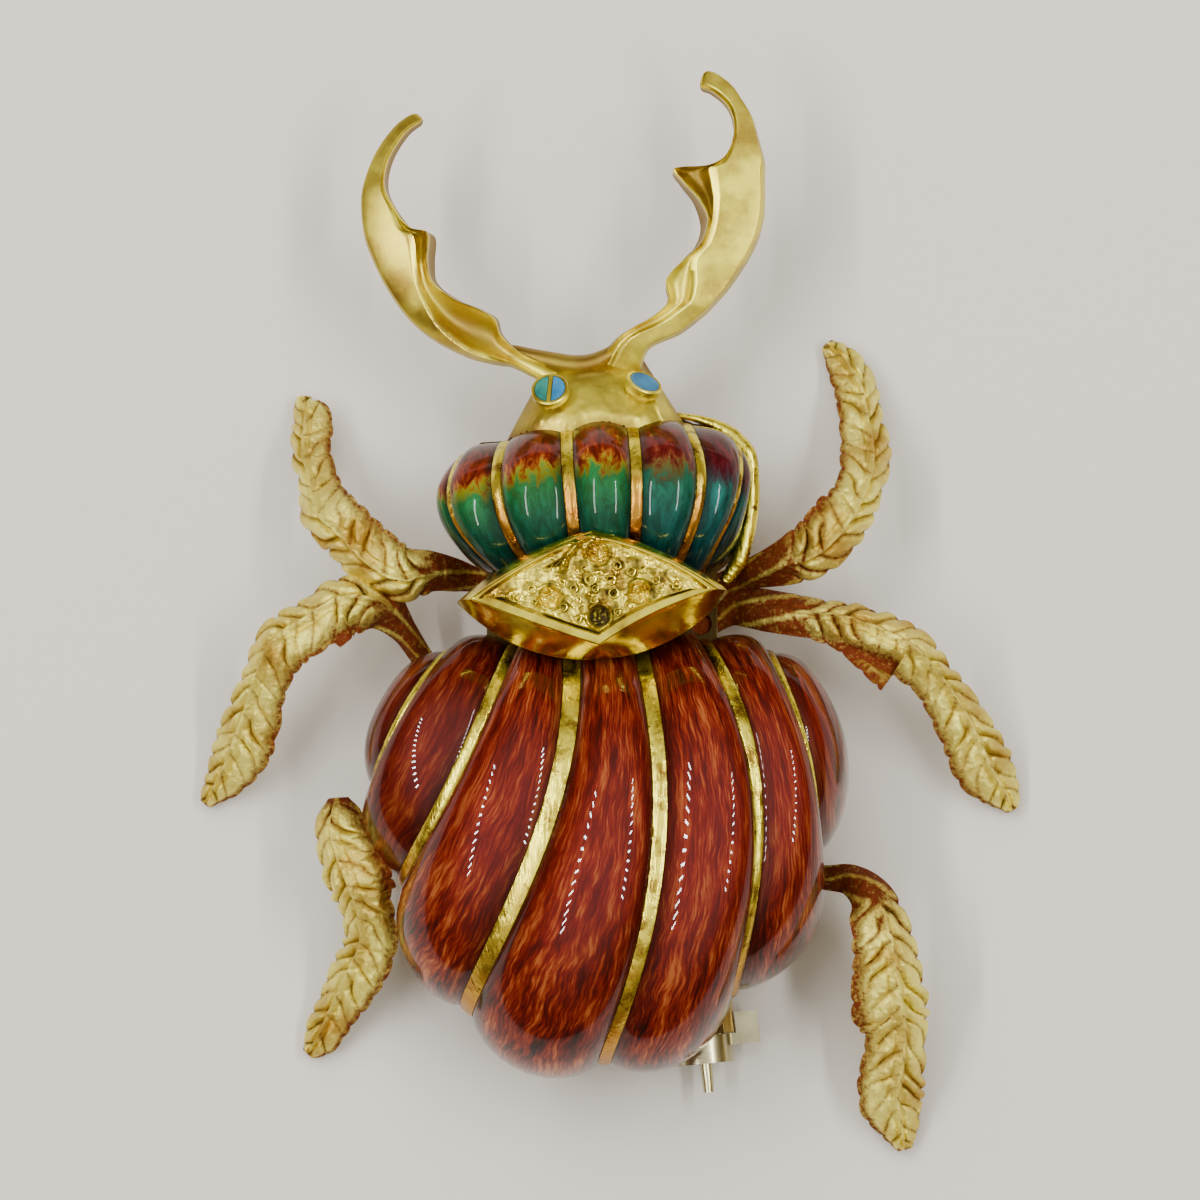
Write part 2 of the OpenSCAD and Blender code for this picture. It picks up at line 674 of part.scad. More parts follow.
hind_left_neck_rows = [
    [0.00, 0.00, 0.40, 0.35, 0.0],
    [-0.08, 0.01, 0.40, 0.36, 0.0],
    [-0.16, 0.02, 0.42, 0.38, 0.0],
    [-0.24, 0.03, 0.62, 0.42, 0.0],
    [-0.32, 0.03, 0.96, 0.46, 0.3]
];
front_right_rows = [
    [0.00, 0.00, 0.40, 0.35, 0.0],
    [0.07, 0.02, 0.42, 0.40, 0.0],
    [0.12, 0.03, 0.50, 0.45, 0.2],
    [0.18, 0.05, 0.68, 0.52, 0.5],
    [0.32, 0.09, 0.88, 0.82, 1.0],
    [0.43, 0.14, 1.00, 0.94, 1.0],
    [0.52, 0.24, 1.00, 0.92, 1.0],
    [0.58, 0.36, 0.82, 0.78, 1.0],
    [0.60, 0.48, 0.56, 0.86, 1.0],
    [0.58, 0.62, 0.32, 0.74, 1.0],
    [0.56, 0.74, 0.14, 0.72, 0.8],
    [0.51, 0.84, 0.03, 0.58, 0.4],
    [0.45, 0.91, 0.00, 0.22, 0.0]
];
mid_right_rows = [
    [0.00, 0.00, 0.40, 0.45, 0.0],
    [0.05, 0.035, 0.41, 0.54, 0.0],
    [0.09, 0.05, 0.46, 0.62, 0.1],
    [0.14, 0.045, 0.60, 0.70, 0.3],
    [0.21, 0.03, 0.76, 0.74, 0.6],
    [0.32, 0.01, 0.88, 0.70, 0.9],
    [0.41, -0.01, 0.96, 0.80, 1.0],
    [0.50, -0.05, 1.02, 0.94, 1.0],
    [0.57, -0.09, 0.98, 0.92, 1.0],
    [0.63, -0.15, 0.76, 0.76, 1.0],
    [0.68, -0.22, 0.52, 0.86, 1.0],
    [0.73, -0.31, 0.30, 0.95, 0.9],
    [0.77, -0.39, 0.13, 0.98, 0.6],
    [0.82, -0.46, 0.02, 0.56, 0.3],
    [0.84, -0.50, 0.00, 0.20, 0.0]
];
hind_right_rows = [
    [0.00, 0.00, 0.40, 0.35, 0.0],
    [0.07, 0.00, 0.40, 0.36, 0.0],
    [0.13, -0.01, 0.42, 0.38, 0.0],
    [0.20, -0.02, 0.62, 0.42, 0.2],
    [0.27, -0.03, 0.84, 0.56, 0.6],
    [0.33, -0.08, 0.95, 0.78, 1.0],
    [0.36, -0.17, 1.00, 0.98, 1.0],
    [0.38, -0.26, 0.94, 1.08, 1.0],
    [0.39, -0.35, 0.82, 1.20, 1.0],
    [0.40, -0.44, 0.68, 1.24, 1.0],
    [0.41, -0.51, 0.54, 1.02, 1.0],
    [0.40, -0.60, 0.38, 1.08, 1.0],
    [0.39, -0.70, 0.18, 1.08, 0.8],
    [0.41, -0.78, 0.05, 0.75, 0.4],
    [0.43, -0.86, 0.00, 0.24, 0.0]
];

// Roots of the legs under the back plate: beside the hinge, and along the abdomen.
// The middle left leg springs from further out and further back than the front one it is cast with.
front_root_x = 4.3;
front_root_ahead = 0.6;
mid_left_out = 2.1;
mid_left_back = 4.2;
mid_right_back = 1.6;
front_left_root = [-front_root_x, waist_y + front_root_ahead];
mid_left_root = front_left_root - [mid_left_out, mid_left_back];
hind_left_root = [-0.37 * abdomen_w, abdomen_front_y - 0.505 * abdomen_l];
front_right_root = [front_root_x, waist_y + front_root_ahead];
mid_right_root = front_right_root - [0, mid_right_back];
hind_right_root = [0.35 * abdomen_w, abdomen_front_y - 0.544 * abdomen_l];
leg_roots = [front_left_root, mid_left_root, hind_left_root,
    front_right_root, mid_right_root, hind_right_root];

// The leaf's section: places across as shares of the half width, up as shares of the thickness
leaf_section = [[-1, 0], [-0.5, 0.28], [0, 0.5], [0.5, 0.28], [1, 0], [0.6, -0.55], [0, -0.7], [-0.6, -0.55]];
leaf_keel = 0.7;
leg_divisions = 3;
// Share of the thickness that the narrowest section would keep
leg_thin = 0.35;
leg_root_z = 0.4 * knee_h + 0.3;

module leg(rows, root, length, outer) {
    columns = [for (k = [0 : 4]) column(rows, k)];
    last = (len(rows) - 1) * leg_divisions;
    places = [for (k = [0 : last])
        root + length * [smooth(columns[0], k / leg_divisions), smooth(columns[1], k / leg_divisions)]];
    loft([for (k = [0 : last])
        let (
            u = k / leg_divisions,
            notch = k == 0 || k == last ? 0 : leg_notch * (k % 2 == 0 ? 1 : -1),
            share = smooth(columns[3], u),
            half = leg_w / 2 * share * (1 + notch),
            thick = leg_t * mix(leg_thin, 1, share),
            lean = leg_lean * max(0, smooth(columns[4], u)) * outer,
            z = max(0, smooth(columns[2], u)) * knee_h + leaf_keel * thick,
            heading = unit(places[min(last, k + 1)] - places[max(0, k - 1)]),
            side = [heading[1], -heading[0]]
        )
        [for (p = leaf_section)
            let (
                across = p[0] * half * cos(lean) - p[1] * thick * sin(lean),
                up = p[0] * half * sin(lean) + p[1] * thick * cos(lean),
                plan = places[k] + side * across
            )
            [plan[0], plan[1], z + up]]
    ]);
}

module leg_peg(root) {
    translate([root[0], root[1], leg_root_z]) cylinder(h = plate_top - leg_root_z, r = peg_r, $fn = fine_fn);
}

module left_legs() {
    color("gold") union() {
        leg(front_left_rows, front_left_root, front_left_leg_l, 1);
        leg(mid_left_rows, mid_left_root, mid_left_leg_l, -1);
        leg_peg(front_left_root);
        leg_peg(mid_left_root);
    }
}

module right_legs() {
    color("gold") union() {
        leg(front_right_rows, front_right_root, front_right_leg_l, -1);
        leg(mid_right_rows, mid_right_root, mid_right_leg_l, 1);
        leg_peg(front_right_root);
        leg_peg(mid_right_root);
    }
}

module hind_left_leg() {
    color("gold") union() {
        leg(hind_left_rows, hind_left_root, hind_left_leg_l, -1);
        leg(hind_left_neck_rows, hind_left_root, hind_left_leg_l, -1);
        leg_peg(hind_left_root);
    }
}

module hind_right_leg() {
    color("gold") union() {
        leg(hind_right_rows, hind_right_root, hind_right_leg_l, 1);
        leg_peg(hind_right_root);
    }
}

// Pin, hinge and catch share a frame at the hinge: the pin runs along its -Y
hinge_x = 2.4;
hinge_y = waist_y + 0.15;
knuckle_bore_r = rivet_r + hinge_gap;
roller_r = housing_r - housing_wall - roller_gap;
roller_bore_r = pin_d / 2 + pin_gap;
slot_w = pin_d + 2 * pin_gap;
lug_h = plate_z - pin_z + plate_t / 2;
catch_start = hinge_y - abdomen_front_y + abdomen_l - catch_tuck;
pin_l = catch_start + pin_past;

module pin_frame() {
    translate([hinge_x, hinge_y, pin_z]) rotate([0, 0, pin_slant]) children();
}

// Round bar along -Y from y0, of length l
module bar(y0, l, r) {
    translate([0, -y0, 0]) rotate([90, 0, 0]) cylinder(h = l, r = r, $fn = round_fn);
}

module hinge_ear(side) {
    inner = knuckle_w / 2 + hinge_gap;
    translate([side > 0 ? inner : -inner - ear_t, 0, 0]) difference() {
        union() {
            rotate([0, 90, 0]) cylinder(h = ear_t, r = knuckle_r, $fn = round_fn);
            translate([0, -knuckle_r, 0]) cube([ear_t, 2 * knuckle_r, lug_h]);
        }
        translate([-overrun, 0, 0]) rotate([0, 90, 0])
            cylinder(h = ear_t + 2 * overrun, r = rivet_r + rivet_gap, $fn = round_fn);
    }
}

// Narrow slot below the pin that lets it swing out, from y0 and of length l
module pin_slot(y0, l) {
    translate([-slot_w / 2, -y0 - l, -2 * housing_r]) cube([slot_w, l, 2 * housing_r]);
}

module catch_housing() {
    lug_w = 1.4 * housing_r;
    difference() {
        union() {
            bar(catch_start, housing_l, housing_r);
            translate([-lug_w / 2, -catch_start - housing_l, 0]) cube([lug_w, housing_l, lug_h]);
        }
        bar(catch_start - overrun, housing_l + 2 * overrun, housing_r - housing_wall);
        pin_slot(catch_start - overrun, housing_l + 2 * overrun);
    }
}

// Waist of the plate between thorax and abdomen, and its tongue under the head
waist_w = 10;
waist_l = 4.2;
waist_back = 2.7;
tongue_w = 3;
tongue_end = head_back_y + head_l - 0.8;
// How far the plate stands out round the thorax
collar_margin = 0.1;

module back_plate() {
    color("gold") difference() {
        union() {
            translate([0, 0, plate_z]) linear_extrude(plate_t) polygon(dome_outline(abdomen, plate_inset));
            translate([rim_show - collar_margin, 0, plate_z])
                linear_extrude(plate_t) polygon(dome_outline(thorax, -collar_margin));
            translate([-waist_w / 2, waist_y - waist_back, plate_z]) cube([waist_w, waist_l, plate_t]);
            translate([-tongue_w / 2, waist_y, plate_z]) cube([tongue_w, tongue_end - waist_y, plate_t]);
            pin_frame() {
                hinge_ear(-1);
                hinge_ear(1);
                catch_housing();
            }
        }
        for (place = concat(leg_roots, [[0, post_y], [0, head_peg_y]]))
            translate([place[0], place[1], plate_z - overrun])
                cylinder(h = plate_t + 2 * overrun, r = peg_r + peg_gap, $fn = fine_fn);
    }
}

module pin_stem() {
    color("silver") pin_frame() difference() {
        union() {
            translate([-knuckle_w / 2, 0, 0]) rotate([0, 90, 0])
                cylinder(h = knuckle_w, r = knuckle_r, $fn = round_fn);
            bar(knuckle_r / 2, pin_l - pin_taper_l - knuckle_r / 2, pin_d / 2);
            translate([0, pin_taper_l - pin_l, 0]) rotate([90, 0, 0])
                cylinder(h = pin_taper_l, r1 = pin_d / 2, r2 = pin_tip_d / 2, $fn = round_fn);
        }
        translate([-knuckle_w, 0, 0]) rotate([0, 90, 0])
            cylinder(h = 2 * knuckle_w, r = knuckle_bore_r, $fn = round_fn);
    }
}

module hinge_rivet() {
    reach = knuckle_w / 2 + hinge_gap + ear_t;
    color("silver") pin_frame() translate([-reach, 0, 0]) rotate([0, 90, 0])
        cylinder(h = 2 * reach, r = rivet_r, $fn = round_fn);
}

module catch_roller() {
    inner_end = catch_start - roller_gap - flange_l;
    collar_start = catch_start + housing_l + roller_gap;
    roller_l = collar_start + collar_l - inner_end;
    tab_side = housing_r + roller_gap;
    color("silver") pin_frame() difference() {
        union() {
            bar(inner_end, roller_l, roller_r);
            bar(inner_end, flange_l, collar_r);
            bar(collar_start, collar_l, collar_r);
            translate([0, -collar_start - tab_l, -tab_t / 2]) cube([collar_r + tab_reach, tab_l, tab_t]);
            translate([tab_side, -collar_start - tab_l / 2, -tab_t / 2])
                cube([collar_r + tab_reach - tab_side, tab_forward + tab_l / 2, tab_t]);
        }
        bar(inner_end - overrun, roller_l + 2 * overrun, roller_bore_r);
        pin_slot(inner_end - overrun, roller_l + 2 * overrun);
    }
}

back_plate();
abdomen_shell();
abdomen_enamel(0);  // abdomen_enamel_1
abdomen_enamel(1);  // abdomen_enamel_2
abdomen_enamel(2);  // abdomen_enamel_3
abdomen_enamel(3);  // abdomen_enamel_4
abdomen_enamel(4);  // abdomen_enamel_5
abdomen_enamel(5);  // abdomen_enamel_6
abdomen_enamel(6);  // abdomen_enamel_7
thorax_shell();
thorax_enamel(0);  // thorax_enamel_1
thorax_enamel(1);  // thorax_enamel_2
thorax_enamel(2);  // thorax_enamel_3
thorax_enamel(3);  // thorax_enamel_4
thorax_enamel(4);  // thorax_enamel_5
thorax_enamel(5);  // thorax_enamel_6
thorax_enamel(6);  // thorax_enamel_7
scutellum();
head();
left_eye_green();
left_eye_blue();
right_eye();
left_legs();
right_legs();
hind_left_leg();
hind_right_leg();
pin_stem();
hinge_rivet();
catch_roller();
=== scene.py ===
import math
import bpy
import numpy as np
from mathutils import Matrix, Vector, noise


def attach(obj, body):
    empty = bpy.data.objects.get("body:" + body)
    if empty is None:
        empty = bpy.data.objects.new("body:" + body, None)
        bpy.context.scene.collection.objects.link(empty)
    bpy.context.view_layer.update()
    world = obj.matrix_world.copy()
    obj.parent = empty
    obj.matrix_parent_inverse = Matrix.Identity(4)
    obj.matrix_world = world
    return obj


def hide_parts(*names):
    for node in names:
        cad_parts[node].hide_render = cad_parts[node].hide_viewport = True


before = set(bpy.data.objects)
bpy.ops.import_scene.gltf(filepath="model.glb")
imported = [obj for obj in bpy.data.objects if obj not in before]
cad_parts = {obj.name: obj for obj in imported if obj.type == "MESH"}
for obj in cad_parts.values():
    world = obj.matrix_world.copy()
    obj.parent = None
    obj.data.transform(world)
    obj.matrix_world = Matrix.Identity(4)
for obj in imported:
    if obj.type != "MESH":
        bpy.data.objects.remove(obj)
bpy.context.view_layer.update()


# Camera, table and light. The camera looks down on the brooch from a little behind and to its right. The
# table is a pale matt sheet under a large soft box that polish doesn't mirror and two rows of small lamps
# that it does, in a room that is bright overhead and dim and warm at the horizon.
mm = 0.001
photo_px = 1200
mm_per_px = 0.044
sensor_mm = 36
camera_up_mm = 260
camera_lean = Vector((0.061, -0.070, 1.0))
aim = Vector((-0.3, 0.72, 0.0)) * mm
table_w_mm = 3000
strip_lamps, strip_front, strip_back, strip_z = 14, 170, -120, 300


def new_object(name, data):
    """An object with this data, linked to the scene at the origin."""
    made = bpy.data.objects.new(name, data)
    bpy.context.scene.collection.objects.link(made)
    return made


def linear(hex_text, alpha=1.0):
    """An sRGB hex colour as linear red, green, blue and alpha."""
    parts = [int(hex_text[k:k + 2], 16) / 255 for k in (0, 2, 4)]
    return tuple(p / 12.92 if p <= 0.04045 else ((p + 0.055) / 1.055) ** 2.4 for p in parts) + (alpha,)


def plug(node, inputs):
    """Set a node's inputs to values or link them to sockets. A node stands for its first output in use."""
    for name, value in inputs.items():
        if isinstance(value, bpy.types.Node):
            value = next(end for end in value.outputs if end.enabled)
        if isinstance(value, bpy.types.NodeSocket):
            node.id_data.links.new(value, node.inputs[name])
        else:
            node.inputs[name].default_value = value


def add_node(tree, kind, inputs=None, stops=(), **settings):
    """A node with its settings, its inputs set or linked, and a ramp's colour stops."""
    node = tree.nodes.new(kind)
    if stops:
        first, last = node.color_ramp.elements
        first.position, first.color = stops[0][0], linear(stops[0][1])
        last.position, last.color = stops[-1][0], linear(stops[-1][1])
        for position, colour in stops[1:-1]:
            node.color_ramp.elements.new(position).color = linear(colour)
    for name, value in settings.items():
        setattr(node, name, value)
    plug(node, inputs or {})
    return node


def new_material(name):
    """A node material with one shader on its output: the material, its tree and that shader."""
    material = bpy.data.materials.new(name)
    material.use_nodes = True
    tree = material.node_tree
    tree.nodes.clear()
    shader = add_node(tree, "ShaderNodeBsdfPrincipled")
    add_node(tree, "ShaderNodeOutputMaterial", {"Surface": shader})
    return material, tree, shader


def add_lamp(name, place, size, power, mirrored=True):
    """A rectangular lamp that looks at the brooch, in millimetres and watts, mirrored by polish or not."""
    lamp = bpy.data.lights.new(name, "AREA")
    lamp.shape = "RECTANGLE"
    lamp.size, lamp.size_y = size[0] * mm, size[1] * mm
    lamp.energy = power
    lamp_object = new_object(name, lamp)
    lamp_object.location = Vector(place) * mm
    lamp_object.visible_glossy = mirrored
    lamp_object.rotation_mode = "QUATERNION"
    lamp_object.rotation_quaternion = (-Vector(place)).to_track_quat("-Z", "Y")


lens_data = bpy.data.cameras.new("photo_camera")
camera = new_object("photo_camera", lens_data)
camera.location = aim + camera_lean * camera_up_mm * mm
back_axis = camera_lean.normalized()
right_axis = Vector((0, 1, 0)).cross(back_axis).normalized()
up_axis = back_axis.cross(right_axis)
camera.rotation_mode = "QUATERNION"
camera.rotation_quaternion = Matrix((right_axis, up_axis, back_axis)).transposed().to_quaternion()
lens_data.sensor_width = sensor_mm
lens_data.lens = sensor_mm * camera_up_mm * camera_lean.length / (photo_px * mm_per_px)
lens_data.clip_start, lens_data.clip_end = 0.01, 10
bpy.context.scene.camera = camera

table_mesh = bpy.data.meshes.new("table")
half = table_w_mm * mm / 2
corners = [(-half, -half, 0), (half, -half, 0), (half, half, 0), (-half, half, 0)]
table_mesh.from_pydata(corners, [], [(0, 1, 2, 3)])
table = new_object("table", table_mesh)
paper, tree, shader = new_material("pale_matt_paper")
plug(shader, {"Base Color": linear("CFCAC2"), "Roughness": 0.9})
table_mesh.materials.append(paper)

add_lamp("key_box", (-120, 340, 420), (380, 380), 2.2, mirrored=False)
# Two rows of small lamps beside the camera, which the enamel and the ribs mirror as rows of dots
for strip, strip_x in (("left", -185), ("right", 190)):
    for k in range(strip_lamps):
        strip_y = strip_front + (strip_back - strip_front) * k / (strip_lamps - 1)
        add_lamp(f"{strip}_strip_{k + 1}", (strip_x, strip_y, strip_z), (5, 22), 0.06)

room = bpy.data.worlds.new("room")
bpy.context.scene.world = room
room.use_nodes = True
room.node_tree.nodes.clear()
coordinates = add_node(room.node_tree, "ShaderNodeTexCoord")
height = add_node(room.node_tree, "ShaderNodeSeparateXYZ", {"Vector": coordinates.outputs["Generated"]})
fade = add_node(room.node_tree, "ShaderNodeValToRGB", {"Fac": height.outputs["Z"]}, stops=(
    (0.0, "4A3826"), (0.35, "6E5C48"), (0.62, "B0A490"), (0.85, "F4EFE2"), (1.0, "FFFFFF")))
glow = add_node(room.node_tree, "ShaderNodeBackground", {"Color": fade, "Strength": 1.16})
add_node(room.node_tree, "ShaderNodeOutputWorld", {"Surface": glow})


# Abdomen: a domed gold shell with seven fluted cells under clear red enamel, over an engraved ground
# of fine streaks. The gold left between the cells stands as ribs, worn and nicked, and the enamel
# bulges above them. It is cold-joined to the back plate, as solder heat would crack the enamel.
def smooth(rows, u):
    """A smooth curve through a table's rows, at row numbers u."""
    rows = np.asarray(rows, float)
    u = np.clip(u, 0, len(rows) - 1.000001)
    first = np.floor(u).astype(int)
    f = (u - first)[..., None]
    a, b, c, d = (rows[np.clip(first + k, 0, len(rows) - 1)] for k in (-1, 0, 1, 2))
    return b + f * ((c - a) + f * ((2 * a - 5 * b + 4 * c - d) + f * (3 * (b - c) + d - a))) / 2


def raised(plan, height):
    """Points at x and y of the plan and at these heights."""
    return np.concatenate([plan, np.broadcast_to(height, plan.shape[:-1])[..., None]], -1)


def unit(ways):
    """Directions at a length of one."""
    return ways / np.linalg.norm(ways, axis=-1, keepdims=True)


def rib_point(dome, u, t):
    """Point on the plain dome, u ribs from the left and a turn t from the front, in millimetres."""
    row = smooth(dome["ribs"], u)
    size = np.array([dome["width"], -dome["length"]])
    origin = np.array([0, dome["front_y"]])
    front = row[..., 0:2] * size + origin
    rim = row[..., 2:4] * size + origin
    s = (1 - np.cos(np.pi * t))[..., None] / 2
    chord = rim - front
    side = unit(np.stack([-chord[..., 1], chord[..., 0]], -1))
    bow = row[..., 4:5] * dome["width"] * 4 * s * (1 - s) * (1 + row[..., 5:6] * (1 - 2 * s))
    rise = row[..., 6] * dome["height"] * np.maximum(0, np.sin(np.pi * t)) ** 0.9
    return raised(front + chord * s + side * bow, rise)


def dome_middle(dome):
    """The point that a dome's lobes swell away from, before the dome is lifted to its base."""
    return np.array([0, dome["front_y"] - dome["middle"] * dome["length"], 0])


def lobe_point(dome, lobe, f, t, depth=0.0, spare=0.0):
    """Point f of the way across a lobe, inside its two ribs, sunk by depth, in millimetres."""
    f, t = np.broadcast_arrays(np.asarray(f, float), np.asarray(t, float))
    span = np.linalg.norm(rib_point(dome, lobe + 1 + 0 * t, t) - rib_point(dome, lobe + 0 * t, t), axis=-1)
    left, right = (np.minimum(0.4, (dome["rib_w"][lobe + k] / 2 + spare) / span) for k in (0, 1))
    plain = rib_point(dome, lobe + left + (1 - left - right) * f, t)
    swell = dome["swell"] * (dome["front_swell"] + (1 - dome["front_swell"]) * np.clip(t / 0.3, 0, 1))
    lift = swell * span * np.maximum(0, np.sin(np.pi * f)) ** 0.8 - depth
    centre = dome_middle(dome)
    arm = plain - centre
    point = centre + arm * (1 + lift / np.linalg.norm(arm, axis=-1))[..., None]
    return point + np.array([0, 0, base_z])


def grid_faces(rows, cols, first=0, closed=False, flip=False):
    """Four-cornered faces of a grid of points, wrapped round in its columns when closed."""
    r = np.arange(rows - 1)[:, None]
    c = np.arange(cols if closed else cols - 1)[None, :]
    a, b = r * cols + c, r * cols + (c + 1) % cols
    faces = np.stack([a, a + cols, b + cols, b], -1).reshape(-1, 4) + first
    return faces[:, ::-1] if flip else faces


def make_piece(name, points, faces, marks=None, sharp=35):
    """A mesh object from points in millimetres and faces, with one number per point for each mark."""
    mesh = bpy.data.meshes.new(name)
    mesh.from_pydata((np.asarray(points) * mm).tolist(), [], [list(map(int, face)) for face in faces])
    for mark, values in (marks or {}).items():
        values = np.asarray(values, np.float32)
        if values.ndim == 1:
            mesh.attributes.new(mark, "FLOAT", "POINT").data.foreach_set("value", values)
        else:
            mesh.attributes.new(mark, "FLOAT_VECTOR", "POINT").data.foreach_set("vector", values.ravel())
    mesh.shade_smooth()
    mesh.set_sharp_from_angle(angle=math.radians(sharp))
    mesh.update()
    return new_object(name, mesh)


def closed_sheet(top, bottom):
    """Points and faces of a solid between two grids of points of one size, top seen from above."""
    rows, cols = top.shape[:2]
    base = rows * cols
    faces = [*grid_faces(rows, cols, 0), *grid_faces(rows, cols, base, flip=True)]
    edge = [*range(cols - 1), *range(cols - 1, base - 1, cols), *range(base - 1, base - cols, -1),
            *range(base - cols, 0, -cols)]
    for a, b in zip(edge, edge[1:] + edge[:1]):
        faces.append((a + base, a, b, b + base))
    return np.concatenate([top.reshape(-1, 3), bottom.reshape(-1, 3)]), faces


def wobble(points, size_mm, seed):
    """A smooth random number from -1 to 1 at each point, with lumps about size_mm across."""
    shift = Vector((seed * 7.31, seed * 3.17, seed * 5.73))
    flat = np.asarray(points).reshape(-1, 3) / size_mm
    return np.array([noise.noise(Vector(p) + shift) for p in flat]).reshape(np.shape(points)[:-1])


def rough_skin(points, seed, *lumps):
    """Height of an uneven skin at each point, from the width and height of its lumps in millimetres."""
    return sum(wobble(points, size_mm, seed + k) * height for k, (size_mm, height) in enumerate(lumps))


# A row for each edge or rib from left to right: front x, y and rim x, y as shares of width and
# length, bow, how early it bows, and height. The swell is how far a lobe stands out, as a share of its
# width, front_swell the share of it at the front edge, and copper how early the coppery tint sets in,
# which is partly tarnish and partly a painted reflection of the red enamel.
abdomen = {
    "ribs": [
        (-0.447, 0.113, -0.452, 0.140, 0.000, 0.0, 0.10),
        (-0.330, 0.016, -0.498, 0.352, -0.008, 0.0, 0.57),
        (-0.185, 0.000, -0.435, 0.577, 0.026, 0.0, 0.77),
        (-0.060, 0.000, -0.292, 0.877, 0.072, 0.3, 0.94),
        (0.085, 0.000, 0.008, 1.000, 0.092, 0.0, 1.00),
        (0.225, -0.005, 0.290, 0.835, 0.092, 0.1, 0.92),
        (0.365, 0.022, 0.474, 0.507, 0.032, 0.0, 0.68),
        (0.457, 0.090, 0.465, 0.115, 0.000, 0.0, 0.10),
    ],
    "width": 20, "length": 18.2, "height": 6.3, "front_y": -1.4, "middle": 0.52, "swell": 0.16,
    "front_swell": 1.0, "copper": 1.0, "rib_w": (0.36, 0.36, 0.46, 0.74, 0.60, 0.48, 0.36, 0.36),
}
base_z = 3.74
enamel_t, enamel_gap = 0.5, 0.03
shell_t, rib_rise = 0.6, 0.05
lobes = 7


def enamel_lobe(name, dome, lobe, steps, across):
    """Closed enamel solid of one lobe, marked with its own grain coordinates in millimetres."""
    t = np.linspace(0, 1, steps)[:, None]
    f = np.linspace(0, 1, across)[None, :]
    top, bottom = (lobe_point(dome, lobe, f, t, depth, enamel_gap) for depth in (0, enamel_t))
    points, faces = closed_sheet(top, bottom)
    along = np.concatenate([[0], np.cumsum(np.linalg.norm(np.diff(top[:, across // 2], axis=0), axis=-1))])
    wide = np.linalg.norm(top[:, -1] - top[:, 0], axis=-1).max()
    grain = np.stack(np.broadcast_arrays(f * wide + 9.0 * lobe, along[:, None], 0.0), -1).reshape(-1, 3)
    cell = np.stack(np.broadcast_arrays(f, t, float(lobe)), -1).reshape(-1, 3)
    return make_piece(name, points, faces, {"grain": np.tile(grain, (2, 1)), "cell": np.tile(cell, (2, 1))})


def ribbed_shell(name, dome, steps, across):
    """Closed gold shell: sunk cells between rounded ribs, with nicks and wear along the ribs."""
    t = np.linspace(0, 1, steps)[:, None]
    columns, under, crest = [], [], []
    sunk, deep = enamel_t + enamel_gap, enamel_t + enamel_gap + shell_t
    for lobe in range(lobes):
        if lobe == 0:
            columns += [lobe_point(dome, 0, 0.0, t, -rib_rise)]
            under += [lobe_point(dome, 0, 0.0, t, deep)]
            crest += [0.0]
        f = np.linspace(0, 1, across)[None, :]
        floor_points = lobe_point(dome, lobe, f, t, sunk)
        left, right = lobe_point(dome, lobe, 0.0, t), lobe_point(dome, lobe, 1.0, t)
        bottom = lobe_point(dome, lobe, f, t, deep)
        columns += [left, *np.split(floor_points, across, 1), right]
        under += [bottom[:, :1], *np.split(bottom, across, 1), bottom[:, -1:]]
        crest += [0.7, *([0.0] * across), 0.7]
        if lobe < lobes - 1:
            beyond = lobe_point(dome, lobe + 1, 0.0, t)
            low = lobe_point(dome, lobe + 1, 0.0, t, deep)
            away = unit(right - dome_middle(dome) - [0, 0, base_z])
            for share, rise in ((0.2, 0.7), (0.5, 1.0), (0.8, 0.7)):
                columns.append(right * (1 - share) + beyond * share + away * rib_rise * rise)
                under.append(bottom[:, -1:] * (1 - share) + low * share)
                crest.append(1.0)
    columns.append(lobe_point(dome, lobes - 1, 1.0, t, -rib_rise))
    under.append(lobe_point(dome, lobes - 1, 1.0, t, deep))
    crest.append(0.0)
    top = np.concatenate(columns, 1)
    nick = rough_skin(top, 3, (0.5, 0.018), (0.17, 0.012))
    top[..., 2] += nick * (np.array(crest)[None, :] > 0.5)
    points, faces = closed_sheet(top, np.concatenate(under, 1))
    turn = np.broadcast_to(t * dome["copper"], top.shape[:2]).reshape(-1)
    return make_piece(name, points, faces, {"turn": np.tile(turn, 2)}, sharp=50)


def from_middle(tree, value, middle):
    """How far a value is from its middle."""
    way = add_node(tree, "ShaderNodeMath", {0: value, 1: middle}, operation="SUBTRACT")
    return add_node(tree, "ShaderNodeMath", {0: way}, operation="ABSOLUTE")


def glaze(shader, colour, ground, ground_depth, coat_ior):
    """A glassy coat over a coloured metal ground with engraved streaks."""
    engraved = add_node(shader.id_data, "ShaderNodeBump", {
        "Height": ground, "Strength": ground_depth, "Distance": 0.00008})
    plug(shader, {"Base Color": colour, "Metallic": 0.35, "Roughness": 0.42, "Normal": engraved,
                  "Specular IOR Level": 0.05, "Coat Weight": 1.0, "Coat Roughness": 0.02, "Coat IOR": coat_ior})
